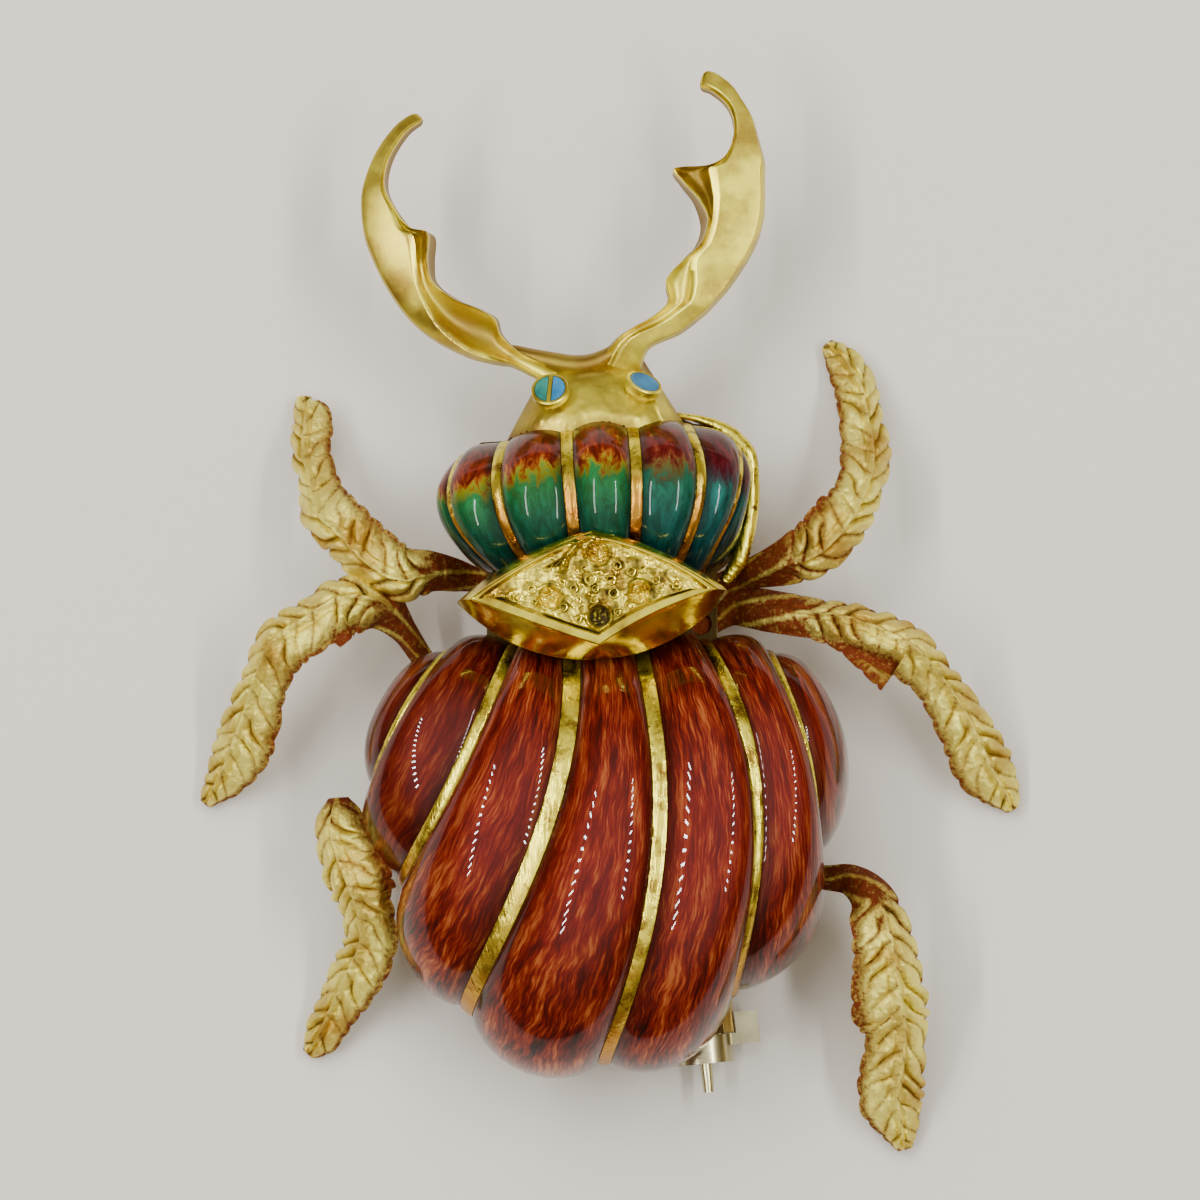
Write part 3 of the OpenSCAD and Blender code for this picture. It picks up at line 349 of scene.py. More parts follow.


# Red enamel: clear flux tinted red over a streaked metal ground, so the ground glints through the
# glassy top coat. The streaks are about 0.13 mm apart and 1.2 mm long, coarser than the real ones so that
# they show. Beside the ribs and at the front end of each lobe the colour darkens to brown, a painted shade.
red_enamel, tree, shader = new_material("red_enamel_over_engraving")
grain = add_node(tree, "ShaderNodeAttribute", attribute_name="grain").outputs["Vector"]
cell = add_node(tree, "ShaderNodeAttribute", attribute_name="cell").outputs["Vector"]
across, along, lobe_number = add_node(tree, "ShaderNodeSeparateXYZ", {"Vector": cell}).outputs
drift = add_node(tree, "ShaderNodeTexNoise", {"Vector": grain, "Scale": 0.55, "Detail": 2.0})
bend = add_node(tree, "ShaderNodeVectorMath", {
    0: drift.outputs["Color"], 1: (0.6, 0.3, 0.0)}, operation="MULTIPLY")
bent = add_node(tree, "ShaderNodeVectorMath", {0: grain, 1: bend}, operation="ADD")
fine_map = add_node(tree, "ShaderNodeMapping", {
    "Vector": bent, "Scale": (7.6, 0.80, 1.0), "Rotation": (0, 0, math.radians(5))})
fine = add_node(tree, "ShaderNodeTexNoise", {
    "Vector": fine_map, "Scale": 1.0, "Detail": 5.0, "Roughness": 0.62})
broad_map = add_node(tree, "ShaderNodeMapping", {"Vector": bent, "Scale": (1.5, 0.30, 1.0)})
broad = add_node(tree, "ShaderNodeTexNoise", {"Vector": broad_map, "Scale": 1.0, "Detail": 3.0})
patches = add_node(tree, "ShaderNodeMath", {0: broad, 1: 0.75}, operation="MULTIPLY")
streak = add_node(tree, "ShaderNodeMath", {0: fine, 1: 0.90, 2: patches}, operation="MULTIPLY_ADD")
ramp = add_node(tree, "ShaderNodeValToRGB", {"Fac": streak}, stops=(
    (0.64, "1A0301"), (0.74, "440A04"), (0.83, "681408"), (0.92, "863211"), (1.0, "A65A28")))
# The middle of each lobe lies deepest and reddest, and the ground shows more orange towards its ends
deepness = add_node(tree, "ShaderNodeMapRange", {
    "Value": from_middle(tree, along, 0.52), "From Min": 0.05, "From Max": 0.30, "To Min": 0.55, "To Max": 0.0})
deepened = add_node(tree, "ShaderNodeMix", {
    "Factor": deepness, "A": ramp, "B": linear("5A0A02")}, data_type="RGBA")
# Painted shade: darker towards brown beside each lobe's ribs and at its front end
rib_side_shade = add_node(tree, "ShaderNodeMapRange", {
    "Value": from_middle(tree, across, 0.5), "From Min": 0.36, "From Max": 0.5, "To Max": 0.75})
front_crevice_shade = add_node(tree, "ShaderNodeMapRange", {
    "Value": along, "From Min": 0.30, "From Max": 0.10, "To Max": 0.6})
dark = add_node(tree, "ShaderNodeMath", {0: rib_side_shade, 1: front_crevice_shade}, operation="MAXIMUM")
# The lobes at the far left lie away from the light
left_dark = add_node(tree, "ShaderNodeMapRange", {
    "Value": lobe_number, "From Min": 1.0, "From Max": 2.0, "To Min": 0.42, "To Max": 0.0})
left_shade = add_node(tree, "ShaderNodeMix", {
    "Factor": left_dark, "A": deepened, "B": linear("3C0802")}, data_type="RGBA")
shaded = add_node(tree, "ShaderNodeMix", {
    "Factor": dark, "A": left_shade, "B": linear("1E0503")}, data_type="RGBA")
glaze(shader, shaded, fine, 0.35, coat_ior=1.31)

for lobe in range(lobes):
    piece = enamel_lobe(f"red_lobe_{lobe + 1}", abdomen, lobe, steps=110, across=25)
    piece.data.materials.append(red_enamel)
    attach(piece, "brooch")
    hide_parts(f"abdomen_enamel_{lobe + 1}")

# Worn gold: 18 carat, polished and then rubbed, with hairline scratches, dark specks in its pits and a
# coppery tint where the mark "turn" says, which is partly tarnish where fingers and cloth never reach and
# partly a painted reflection of the red enamel.
worn_gold, tree, shader = new_material("worn_yellow_gold")
where = add_node(tree, "ShaderNodeTexCoord").outputs["Object"]
turn = add_node(tree, "ShaderNodeAttribute", attribute_name="turn").outputs["Fac"]
speck = add_node(tree, "ShaderNodeTexNoise", {
    "Vector": where, "Scale": 2600.0, "Detail": 6.0, "Roughness": 0.7})
patch = add_node(tree, "ShaderNodeTexNoise", {"Vector": where, "Scale": 1000.0, "Detail": 5.0})
tone = add_node(tree, "ShaderNodeValToRGB", {"Fac": patch}, stops=((0.36, "9C7E2C"), (0.50, "F8E84C")))
# Coppery towards the ends of each shell: partly tarnish, partly a painted reflection of the enamel
behind = add_node(tree, "ShaderNodeMapRange", {
    "Value": turn, "From Min": 0.50, "From Max": 0.95, "To Max": 0.9})
ahead = add_node(tree, "ShaderNodeMapRange", {"Value": turn, "From Min": 0.16, "From Max": 0.06, "To Max": 0.8})
far_end = add_node(tree, "ShaderNodeMath", {0: behind, 1: ahead}, operation="MAXIMUM")
copper_tint_sum = add_node(tree, "ShaderNodeMath", {0: patch, 1: 1.2, 2: far_end}, operation="MULTIPLY_ADD")
copper_tint_share = add_node(tree, "ShaderNodeMapRange", {
    "Value": copper_tint_sum, "From Min": 0.78, "From Max": 1.35, "To Max": 0.85})
coppery = add_node(tree, "ShaderNodeMix", {
    "Factor": copper_tint_share, "A": tone, "B": linear("A45C22")}, data_type="RGBA")
spots = add_node(tree, "ShaderNodeMapRange", {"Value": speck, "From Min": 0.60, "From Max": 0.70})
spotted = add_node(tree, "ShaderNodeMix", {
    "Factor": spots, "A": coppery, "B": linear("6A4420")}, data_type="RGBA")
scratch_map = add_node(tree, "ShaderNodeMapping", {
    "Vector": where, "Scale": (6000, 900, 6000), "Rotation": (0, 0, 0.5)})
scratch = add_node(tree, "ShaderNodeTexNoise", {"Vector": scratch_map, "Scale": 1.0, "Detail": 3.0})
relief = add_node(tree, "ShaderNodeMath", {0: patch, 1: scratch}, operation="ADD")
dent = add_node(tree, "ShaderNodeBump", {"Height": relief, "Strength": 0.4, "Distance": 0.00012})
rough = add_node(tree, "ShaderNodeMapRange", {
    "Value": patch, "From Min": 0.3, "From Max": 0.7, "To Min": 0.20, "To Max": 0.38})
plug(shader, {"Base Color": spotted, "Metallic": 1.0, "Roughness": rough, "Normal": dent})

piece = ribbed_shell("abdomen_gold", abdomen, steps=130, across=9)
piece.data.materials.append(worn_gold)
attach(piece, "brooch")
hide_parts("abdomen_shell")


# Thorax: a second fluted shell in the same work. Its enamel is laid red at the front and green to
# teal behind, the two running into each other in a ragged amber seam about a third of the way back.
thorax = {
    "ribs": [
        (-0.520, 0.390, -0.510, 0.580, 0.000, 0.0, 0.25),
        (-0.448, 0.158, -0.303, 0.944, -0.095, 0.2, 0.64),
        (-0.310, 0.090, -0.180, 0.986, -0.064, 0.0, 0.88),
        (-0.105, -0.007, -0.053, 1.010, 0.000, 0.0, 1.00),
        (0.105, -0.025, 0.098, 1.010, 0.036, 0.0, 1.00),
        (0.282, -0.007, 0.227, 0.986, 0.083, 0.2, 0.88),
        (0.452, 0.115, 0.333, 0.915, 0.055, 0.3, 0.64),
        (0.473, 0.350, 0.463, 0.580, 0.000, 0.0, 0.25),
    ],
    "width": 13.2, "length": 7.1, "height": 5.1, "front_y": 8.0, "middle": 0.5, "swell": 0.15,
    "front_swell": 0.35, "copper": 1.7, "rib_w": (0.34, 0.32, 0.42, 0.50, 0.46, 0.40, 0.30, 0.34),
}

# Red to teal enamel: the same clear coat, over a ground that is stained in cloudy patches half a
# millimetre across, so the seam of the two colours is ragged and their middle is lighter.
teal_enamel, tree, shader = new_material("red_to_teal_enamel")
grain = add_node(tree, "ShaderNodeAttribute", attribute_name="grain").outputs["Vector"]
cell = add_node(tree, "ShaderNodeAttribute", attribute_name="cell").outputs["Vector"]
across, along, lobe_number = add_node(tree, "ShaderNodeSeparateXYZ", {"Vector": cell}).outputs
fine_map = add_node(tree, "ShaderNodeMapping", {"Vector": grain, "Scale": (2.8, 1.0, 1.0)})
fine = add_node(tree, "ShaderNodeTexNoise", {
    "Vector": fine_map, "Scale": 1.0, "Detail": 6.0, "Roughness": 0.65, "Distortion": 0.6})
ragged = add_node(tree, "ShaderNodeMath", {0: fine, 1: 0.32, 2: -0.16}, operation="MULTIPLY_ADD")
seam = add_node(tree, "ShaderNodeMath", {0: along, 1: ragged}, operation="ADD")
centre_ramp = add_node(tree, "ShaderNodeValToRGB", {"Fac": seam}, stops=(
    (0.08, "440C08"), (0.33, "7A220A"), (0.365, "9A5018"), (0.39, "848218"), (0.43, "1E6430"), (0.58, "0C4A34"),
    (0.80, "05302A"), (0.95, "021412")))
right_ramp = add_node(tree, "ShaderNodeValToRGB", {"Fac": seam}, stops=(
    (0.08, "42080E"), (0.33, "5C0E18"), (0.40, "3A2C34"), (0.46, "14544A"), (0.64, "0B4444"), (0.86, "06292E"),
    (0.95, "03141A")))
to_right = add_node(tree, "ShaderNodeMapRange", {"Value": lobe_number, "From Min": 3.4, "From Max": 4.4})
laid = add_node(tree, "ShaderNodeMix", {
    "Factor": to_right, "A": centre_ramp, "B": right_ramp}, data_type="RGBA")
light_spots = add_node(tree, "ShaderNodeMapRange", {
    "Value": fine, "From Min": 0.42, "From Max": 0.72, "To Min": 0.45, "To Max": 1.4})
lit = add_node(tree, "ShaderNodeVectorMath", {0: laid, "Scale": light_spots}, operation="SCALE")
# Painted shade: darker beside each lobe's ribs
rib_side_shade = add_node(tree, "ShaderNodeMapRange", {
    "Value": from_middle(tree, across, 0.5), "From Min": 0.34, "From Max": 0.5, "To Max": 0.7})
shaded = add_node(tree, "ShaderNodeMix", {
    "Factor": rib_side_shade, "A": lit, "B": linear("0A1412")}, data_type="RGBA")
glaze(shader, shaded, fine, 0.3, coat_ior=1.26)

for lobe in range(lobes):
    piece = enamel_lobe(f"teal_lobe_{lobe + 1}", thorax, lobe, steps=80, across=21)
    piece.data.materials.append(teal_enamel)
    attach(piece, "brooch")
    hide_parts(f"thorax_enamel_{lobe + 1}")


def circle(corners):
    """Angles of a ring's corners."""
    return np.linspace(0, 2 * np.pi, corners, endpoint=False)


def outward(points, faces):
    """The faces of a closed solid, turned round if they look inward."""
    points = np.asarray(points)
    corners = points[np.array([(f[0], f[k], f[k + 1]) for f in faces for k in range(1, len(f) - 1)])]
    volume = np.einsum("ij,ij->", corners[:, 0], np.cross(corners[:, 1], corners[:, 2]))
    return [tuple(face) for face in faces] if volume > 0 else [tuple(face[::-1]) for face in faces]


def closed_tube(rings):
    """Points and faces of a solid through rings of points, closed at both ends round a middle point."""
    count, around = rings.shape[:2]
    ends = np.stack([rings[0].mean(0), rings[-1].mean(0)])
    faces = [tuple(face) for face in grid_faces(count, around, closed=True)]
    last = (count - 1) * around
    for k in range(around):
        n = (k + 1) % around
        faces += [(count * around, k, n), (count * around + 1, last + n, last + k)]
    points = np.concatenate([rings.reshape(-1, 3), ends])
    return points, outward(points, faces)


def tube_along(spine, sideways, girth, around, tall=1.0):
    """Solid round a spine, through ovals that stand on their sideways direction."""
    turn = circle(around)
    oval = raised(sideways[:, None] * np.cos(turn)[:, None], tall * np.sin(turn))
    return closed_tube(spine[:, None] + girth[:, None, None] * oval)


# The gold rim that shows as a bright crescent outside the thorax on its right. It is thin under the head,
# thickest beside the lobes, and chased with fine lines at its tail.
rim_line = np.array([(3.1, 8.5, 3.9), (4.2, 8.3, 3.95), (5.15, 7.93, 4.0), (5.85, 7.4, 4.05), (6.38, 6.7, 4.15),
                     (6.5, 5.7, 4.2), (6.5, 4.6, 4.2), (6.3, 3.3, 4.1), (5.95, 2.1, 4.0), (5.3, 1.2, 3.9)])
rim_thin, rim_swell, rim_taper, chase_pitch, chase_from = 0.15, 0.22, 0.12, 34, 7
u = np.linspace(0, len(rim_line) - 1, 120)
spine = smooth(rim_line, u)
girth = rim_thin + rim_swell * np.clip((u - 0.5) / 2, 0, 1) - rim_taper * np.clip(u - 8, 0, 1)
chased = 1 + 0.10 * np.sin(u * chase_pitch) * np.clip(u - chase_from, 0, 1)
rim_parts = tube_along(spine, unit(spine[:, :2] - [0.3, 4.4]), girth * chased, 24)
piece = make_piece("thorax_rim", *rim_parts, {"turn": np.full(len(rim_parts[0]), 0.3)}, sharp=60)
piece.data.materials.append(worn_gold)
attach(piece, "brooch")

piece = ribbed_shell("thorax_gold", thorax, steps=100, across=7)
piece.data.materials.append(worn_gold)
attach(piece, "brooch")
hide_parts("thorax_shell")


# Scutellum: a cast and carved gold plate on a post, over the joint of the two shells. Its sunk field
# holds four empty stone seats between cut beads, and its polished skirt mirrors the red enamel below.
scutellum_w, scutellum_l, skirt_h = 10.7, 4.8, 1.6
scutellum_y, scutellum_z = 0.51, 9.39
field_drop, seat_r, seat_depth = 0.16, 0.48, 0.28
rim_w, rim_w_behind, edge_drop = 0.15, 0.25, 0.10
post_y, post_r = scutellum_y - 0.85, 0.55
peg_low, peg_high, peg_r = 2.9, 3.7, 0.45
# Corners from the left round by the front: x and y shares, share of the skirt, flare of its foot
scutellum_corners = [
    (-0.5, -0.08, 0.85, 0.6), (-0.008, 0.5, 0.28, 0.1), (0.5, 0.0, 0.8, 0.35), (0.023, -0.5, 1.0, 0.45)]
scutellum_bows = [(0.05, 0.07), (0.07, 0.07), (-0.05, 0.13), (0.01, 0.14)]
scutellum_seats = [(0.015, 0.33), (-0.175, -0.065), (0.18, -0.03), (0.022, -0.235)]


def joined(parts):
    """Several solids' points and faces as one."""
    points, faces, first = [], [], 0
    for some_points, some_faces in parts:
        points.append(some_points)
        faces += [tuple(k + first for k in face) for face in some_faces]
        first += len(some_points)
    return np.concatenate(points), faces


def post(x, y, low, high, radius, around=32):
    """Points and faces of a plain upright post."""
    turn = circle(around)
    ring = np.stack([x + radius * np.cos(turn), y + radius * np.sin(turn), 0 * turn], -1)
    return closed_tube(np.stack([ring + [0, 0, low], ring + [0, 0, high]]))


def plate_edge(foot, per_edge):
    """Outline of the scutellum at the rim or at the foot of its skirt, with skirt depth and edge direction."""
    plan, deep, along = [], [], []
    for k in range(4):
        a, b = scutellum_corners[k], scutellum_corners[(k + 1) % 4]
        start, end = (np.array([c[0] * scutellum_w, c[1] * scutellum_l]) for c in (a, b))
        f = np.linspace(0, 1, per_edge, endpoint=False)[:, None]
        way = unit(end - start)
        bow = scutellum_bows[k][foot] * scutellum_l * 4 * f * (1 - f)
        edge = start + (end - start) * f + np.array([-way[1], way[0]]) * bow
        reach = np.linalg.norm(edge, axis=-1, keepdims=True)
        plan.append(edge * (reach + foot * (a[3] + (b[3] - a[3]) * f)) / reach)
        deep.append((a[2] + (b[2] - a[2]) * f)[:, 0])
        along.append(np.broadcast_to(way, edge.shape))
    return np.concatenate(plan), np.concatenate(deep), np.concatenate(along)


def step_up(value, low, high):
    """0 below low, 1 above high and smooth between them."""
    s = np.clip((value - low) / (high - low), 0, 1)
    return s * s * (3 - 2 * s)


per_edge, field_rings, skirt_rings = 84, 96, 16
edge_plan, edge_deep, edge_way = plate_edge(0, per_edge)
foot_plan, _, _ = plate_edge(1, per_edge)
share = np.linspace(0.02, 1, field_rings)[:, None]
plan = edge_plan[None] * share[..., None]
flat_points = raised(plan, 0.0)
inset = (1 - share) * np.abs(edge_plan[:, 0] * edge_way[:, 1] - edge_plan[:, 1] * edge_way[:, 0])[None]
behind = np.repeat([0.0, 0.0, 1.0, 1.0], per_edge)[None]
rim_in = rim_w + rim_w_behind * behind
top = -edge_drop * np.clip(1 - inset / 0.12, 0, 1) ** 2 - field_drop * step_up(inset, rim_in, rim_in + 0.14)
# A groove along the rim, deepest behind and broken in places, round a hammered field
broken = 0.45 + 0.55 * step_up(wobble(flat_points, 1.3, 9), -0.3, 0.2)
groove = np.exp(-((inset - rim_in - 0.10) / 0.05) ** 2) * (0.04 + 0.17 * behind) * broken
inside = step_up(inset, rim_in + 0.05, rim_in + 0.25)
hammered = rough_skin(flat_points, 11, (0.42, 0.13), (0.17, 0.06)) * inside
top = top - groove + hammered
grime_and_shade = np.clip(groove * 5, 0, 1) + inside * (0.40 - 4.8 * hammered)
# Each seat is a pit with a ragged bezel, and the front one is deeper and filled with dirt
for k, (seat_x, seat_y) in enumerate(scutellum_seats):
    far = np.linalg.norm(plan - [seat_x * scutellum_w, seat_y * scutellum_l], axis=-1)
    pit = 1 - step_up(far, seat_r - 0.10, seat_r)
    ragged = 0.4 + 1.1 * step_up(wobble(flat_points, 0.5, 30 + k), -0.3, 0.3)
    bezel = np.exp(-((far - seat_r - 0.05) / 0.07) ** 2) * ragged
    bumps = np.abs(wobble(flat_points, 0.16, 20 + k))
    seat_floor = -field_drop - seat_depth * (0.75 if k < 3 else 1.0) + bumps * 0.22
    top = top * (1 - pit) + seat_floor * pit + bezel * 0.11
    grime_and_shade = grime_and_shade * (1 - pit) + pit * (0.95 if k == 3 else 0.12) * (1 - 0.6 * bumps)
# The petal that curls round the front seat, and the hatched hollow on its left
petal = np.array([(-1.32, 0.88), (-1.22, 1.25), (-0.98, 1.62), (-0.66, 1.95), (-0.28, 2.24)])
petal_line = smooth(petal, np.linspace(0, len(petal) - 1, 60))
near_petal = np.linalg.norm(plan[:, :, None] - petal_line[None, None], axis=-1).min(-1)
top = top + 0.26 * np.exp(-(near_petal / 0.13) ** 2)
hollow = np.array([(-2.25, 0.90), (-1.10, 1.50), (-1.42, 1.02)])
inside_hollow = np.ones(plan.shape[:2])
for k in range(3):
    a, b = hollow[k], hollow[(k + 1) % 3]
    side = ((b - a)[0] * (plan - a)[..., 1] - (b - a)[1] * (plan - a)[..., 0]) / np.linalg.norm(b - a)
    inside_hollow = inside_hollow * step_up(-side, -0.02, 0.06)
hatch = 0.5 + 0.5 * np.sin((plan[..., 0] - plan[..., 1]) * 38)
top = top - inside_hollow * (0.16 + 0.07 * hatch)
grime_and_shade = np.maximum(grime_and_shade, inside_hollow * (0.6 + 0.4 * hatch))
# Folds at the left corner, where the carver's graver ran out
fold = np.exp(-((plan[..., 0] + 4.25 + 0.5 * np.abs(plan[..., 1] + 0.45)) / 0.07) ** 2) * inside
top = top - 0.10 * fold
rings = [raised(plan, top)]
dirt_and_shade = [np.clip(grime_and_shade, 0, 1)]
# The skirt bellies out on its way down to its foot, which is dirty, and is closed below as a shallow dish
for k in range(1, skirt_rings + 1):
    s = k / skirt_rings
    ring = edge_plan * (1 - s) + foot_plan * s
    ring = ring * (1 + 0.10 * np.sin(np.pi * s) / np.linalg.norm(ring, axis=-1, keepdims=True))
    rings.append(raised(ring, -edge_drop - s * (skirt_h * edge_deep - edge_drop))[None])
    dirt_and_shade.append(np.full((1, len(ring)), 0.05 + 0.9 * max(0.0, s - 0.8)))
foot_down = -skirt_h * edge_deep
for reach, drop in ((0.93, foot_down), (0.50, foot_down * 0.3 - 0.7), (0.06, foot_down * 0 - 0.9)):
    rings.append(raised(foot_plan * reach, drop)[None])
    dirt_and_shade.append(np.full((1, len(foot_plan)), 0.9))
rings = np.concatenate(rings) + [0, scutellum_y, scutellum_z]
points, faces = joined([closed_tube(rings), post(0, post_y, base_z, scutellum_z - 0.8, post_r),
                        post(0, post_y, peg_low, peg_high, peg_r)])
marks = np.zeros(len(points))
marks[:rings.shape[0] * rings.shape[1]] = np.concatenate(dirt_and_shade).reshape(-1)
piece = make_piece("scutellum_plate", points, faces, {"dirt_and_shade": marks}, sharp=60)


def soiled_and_shaded_gold(name, grain, patch, held, soil_and_shade, tones, dirt_and_shade, dirt_metal, rough, dents):
    """Gold in two tones, browned where its mark plus held times its grain falls in the given range: dirt, and on
    the legs painted shade as well.
    """
    material, tree, shader = new_material(name)
    where = add_node(tree, "ShaderNodeTexCoord").outputs["Object"]
    dirt_and_shade_mark = add_node(tree, "ShaderNodeAttribute", attribute_name="dirt_and_shade").outputs["Fac"]
    grain = add_node(tree, "ShaderNodeTexNoise", {"Vector": where, **grain})
    patch = add_node(tree, "ShaderNodeTexNoise", {"Vector": where, **patch})
    dirt_sum = add_node(tree, "ShaderNodeMath", {0: grain, 1: held, 2: dirt_and_shade_mark}, operation="MULTIPLY_ADD")
    mask = add_node(tree, "ShaderNodeMapRange", {"Value": dirt_sum, "From Min": soil_and_shade[0], "From Max": soil_and_shade[1]})
    tone = add_node(tree, "ShaderNodeValToRGB", {"Fac": patch}, stops=tones)
    soiled_and_shaded = add_node(tree, "ShaderNodeMix", {"Factor": mask, "A": tone, "B": linear(dirt_and_shade)}, data_type="RGBA")
    metal = add_node(tree, "ShaderNodeMapRange", {"Value": mask, "To Min": 1.0, "To Max": dirt_metal})
    rough = add_node(tree, "ShaderNodeMapRange", {"Value": dirt_sum, **rough})
    dent = add_node(tree, "ShaderNodeBump", {"Height": grain, **dents})
    plug(shader, {"Base Color": soiled_and_shaded, "Metallic": metal, "Roughness": rough, "Normal": dent})
    return material


# Carved gold: bright where the graver cut and the cloth rubs, with brown grime in every hollow
carved_gold = soiled_and_shaded_gold(
    "carved_gold_with_grime", {"Scale": 3200.0, "Detail": 5.0}, {"Scale": 700.0, "Detail": 3.0},
    held=0.5, soil_and_shade=(0.45, 1.15), tones=((0.35, "A6862A"), (0.58, "F6E24E")), dirt_and_shade="30210A", dirt_metal=0.7,
    rough={"From Min": 0.2, "From Max": 1.1, "To Min": 0.16, "To Max": 0.6},
    dents={"Strength": 0.25, "Distance": 0.00005})
piece.data.materials.append(carved_gold)
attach(piece, "brooch")
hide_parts("scutellum")

# Cut beads between the seats: x and y from the plate's middle, width in millimetres, turn in degrees
beads = [(-0.13, 0.44, 0.30, 5), (0.74, 0.40, 0.27, 30), (0.07, 0.04, 0.17, 0), (0.86, -0.15, 0.28, -10),
         (0.03, -0.43, 0.20, 50), (-0.67, -0.43, 0.20, 20), (-0.83, 0.04, 0.20, 0), (-1.38, 0.30, 0.22, 35),
         (-1.28, -0.75, 0.19, 15), (-2.64, 0.02, 0.22, 40), (-2.52, -0.52, 0.14, 0), (-3.26, -0.36, 0.22, 60),
         (-0.67, -1.22, 0.22, 25), (1.01, 1.02, 0.22, -20), (1.60, 0.75, 0.24, 10), (2.66, 0.40, 0.22, 45),
         (2.82, -0.05, 0.20, 15), (3.53, 0.20, 0.24, 30), (1.50, -0.68, 0.17, 0), (1.02, -0.95, 0.20, 20),
         (-0.42, 0.93, 0.14, 0), (2.10, 0.85, 0.20, 50)]


def bead_mesh():
    """A cut bead one unit wide: a square stub with softened corners and a deep round pit in its top."""
    turn = circle(12) + np.pi / 4
    square = 0.5 / np.maximum(np.abs(np.cos(turn - np.pi / 4)), np.abs(np.sin(turn - np.pi / 4))) ** 0.7
    rows = []
    for reach, up in ((1.35, -0.6), (1.2, 0.12), (1.04, 0.48), (0.86, 0.52), (0.74, 0.36), (0.60, -0.40)):
        rows.append(np.stack([np.cos(turn) * square * reach, np.sin(turn) * square * reach, 0 * turn + up], -1))
    return closed_tube(np.stack(rows))


stub = make_piece("bead_stub", *bead_mesh(), sharp=40)
spots = bpy.data.meshes.new("bead_spots")
bead_z = (scutellum_z - field_drop + 0.05) * mm
spots.from_pydata([(x * mm, (y + scutellum_y) * mm, bead_z) for x, y, _, _ in beads], [], [])
for mark, values in (("width", [row[2] for row in beads]), ("turn", [math.radians(row[3]) for row in beads])):
    spots.attributes.new(mark, "FLOAT", "POINT").data.foreach_set("value", values)
bead_field = new_object("cut_beads", spots)


def scatter_tree(name, material):
    """Node group that puts a stub on each point, as wide and as turned as the point says."""
    group = bpy.data.node_groups.new(name, "GeometryNodeTree")
    sockets = {}
    for label, kind in (("Geometry", "Geometry"), ("Stub", "Object"), ("Size", "Float"), ("Spread", "Float"),
                        ("Seed", "Int")):
        socket = group.interface.new_socket(label, in_out="INPUT", socket_type=f"NodeSocket{kind}")
        sockets[label] = socket.identifier
    group.interface.new_socket("Geometry", in_out="OUTPUT", socket_type="NodeSocketGeometry")
    given = add_node(group, "NodeGroupInput").outputs
    shape = add_node(group, "GeometryNodeObjectInfo", {"Object": given["Stub"]}).outputs["Geometry"]
    width = add_node(group, "GeometryNodeInputNamedAttribute", {"Name": "width"}, data_type="FLOAT")
    turn = add_node(group, "GeometryNodeInputNamedAttribute", {"Name": "turn"}, data_type="FLOAT")
    chance = add_node(group, "FunctionNodeRandomValue", {"Seed": given["Seed"]}, data_type="FLOAT")
    vary = add_node(group, "ShaderNodeMath", {0: chance, 1: given["Spread"], 2: given["Size"]},
                    operation="MULTIPLY_ADD")
    size = add_node(group, "ShaderNodeMath", {0: width, 1: vary}, operation="MULTIPLY")
    angle = add_node(group, "ShaderNodeCombineXYZ", {"Z": turn})
    placed = add_node(group, "GeometryNodeInstanceOnPoints", {
        "Points": given["Geometry"], "Instance": shape, "Rotation": angle, "Scale": size})
    real = add_node(group, "GeometryNodeRealizeInstances", {"Geometry": placed})
    dressed = add_node(group, "GeometryNodeSetMaterial", {"Geometry": real, "Material": material})
    add_node(group, "NodeGroupOutput", {"Geometry": dressed})
    return group, sockets


def settled(made, group, values, sockets):
    """The object with the node group's result as its plain mesh."""
    modifier = made.modifiers.new(group.name, "NODES")
    modifier.node_group = group
    for label, value in values.items():
        modifier[sockets[label]] = value
    bpy.context.view_layer.update()
    depsgraph = bpy.context.evaluated_depsgraph_get()
    mesh = bpy.data.meshes.new_from_object(made.evaluated_get(depsgraph), depsgraph=depsgraph)
    made.modifiers.remove(modifier)
    made.data = mesh
    return made


# Bead gold: freshly cut and bright, with painted shade in the pit of each bead and round its foot,
# below this height in millimetres
pit_top, pit_shade = 9.38, 0.08
bead_gold, tree, shader = new_material("cut_bead_gold")
where = add_node(tree, "ShaderNodeTexCoord").outputs["Object"]
fleck = add_node(tree, "ShaderNodeTexNoise", {"Vector": where, "Scale": 4200.0, "Detail": 3.0})
height = add_node(tree, "ShaderNodeSeparateXYZ", {"Vector": where}).outputs["Z"]
pit_painted_shade = add_node(tree, "ShaderNodeMapRange", {
    "Value": height, "From Min": (pit_top - pit_shade) * mm, "From Max": pit_top * mm,
    "To Min": 1.0, "To Max": 0.0})
shade = add_node(tree, "ShaderNodeMix", {
    "Factor": pit_painted_shade, "A": linear("F6E45A"), "B": linear("3E2A0E")}, data_type="RGBA")
dent = add_node(tree, "ShaderNodeBump", {"Height": fleck, "Strength": 0.3, "Distance": 0.00004})
plug(shader, {"Base Color": shade, "Metallic": 1.0, "Roughness": 0.2, "Normal": dent})
group, sockets = scatter_tree("stubs_on_points", bead_gold)
bead_field = settled(bead_field, group, {"Stub": stub, "Size": 1.35, "Spread": 0.2, "Seed": 4}, sockets)
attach(bead_field, "brooch")
bpy.data.objects.remove(stub)


# Head: one satin casting with both mandibles and the eye collets. The crown is a low saddle that nests
# round the thorax, and each mandible is a curved blade with a bright bevel and an inner wall darkened by
# painted shade.
head_back_y = 8.55
head_w, head_l, head_h = 8.7, 2.5, 2.5
head_front_w, head_brow, head_tuck, head_nest = 4.1, 0.2, 0.8, 0.85
head_side_h, head_front_h = 0.5, 1.7
crown_across, crown_along = 121, 71


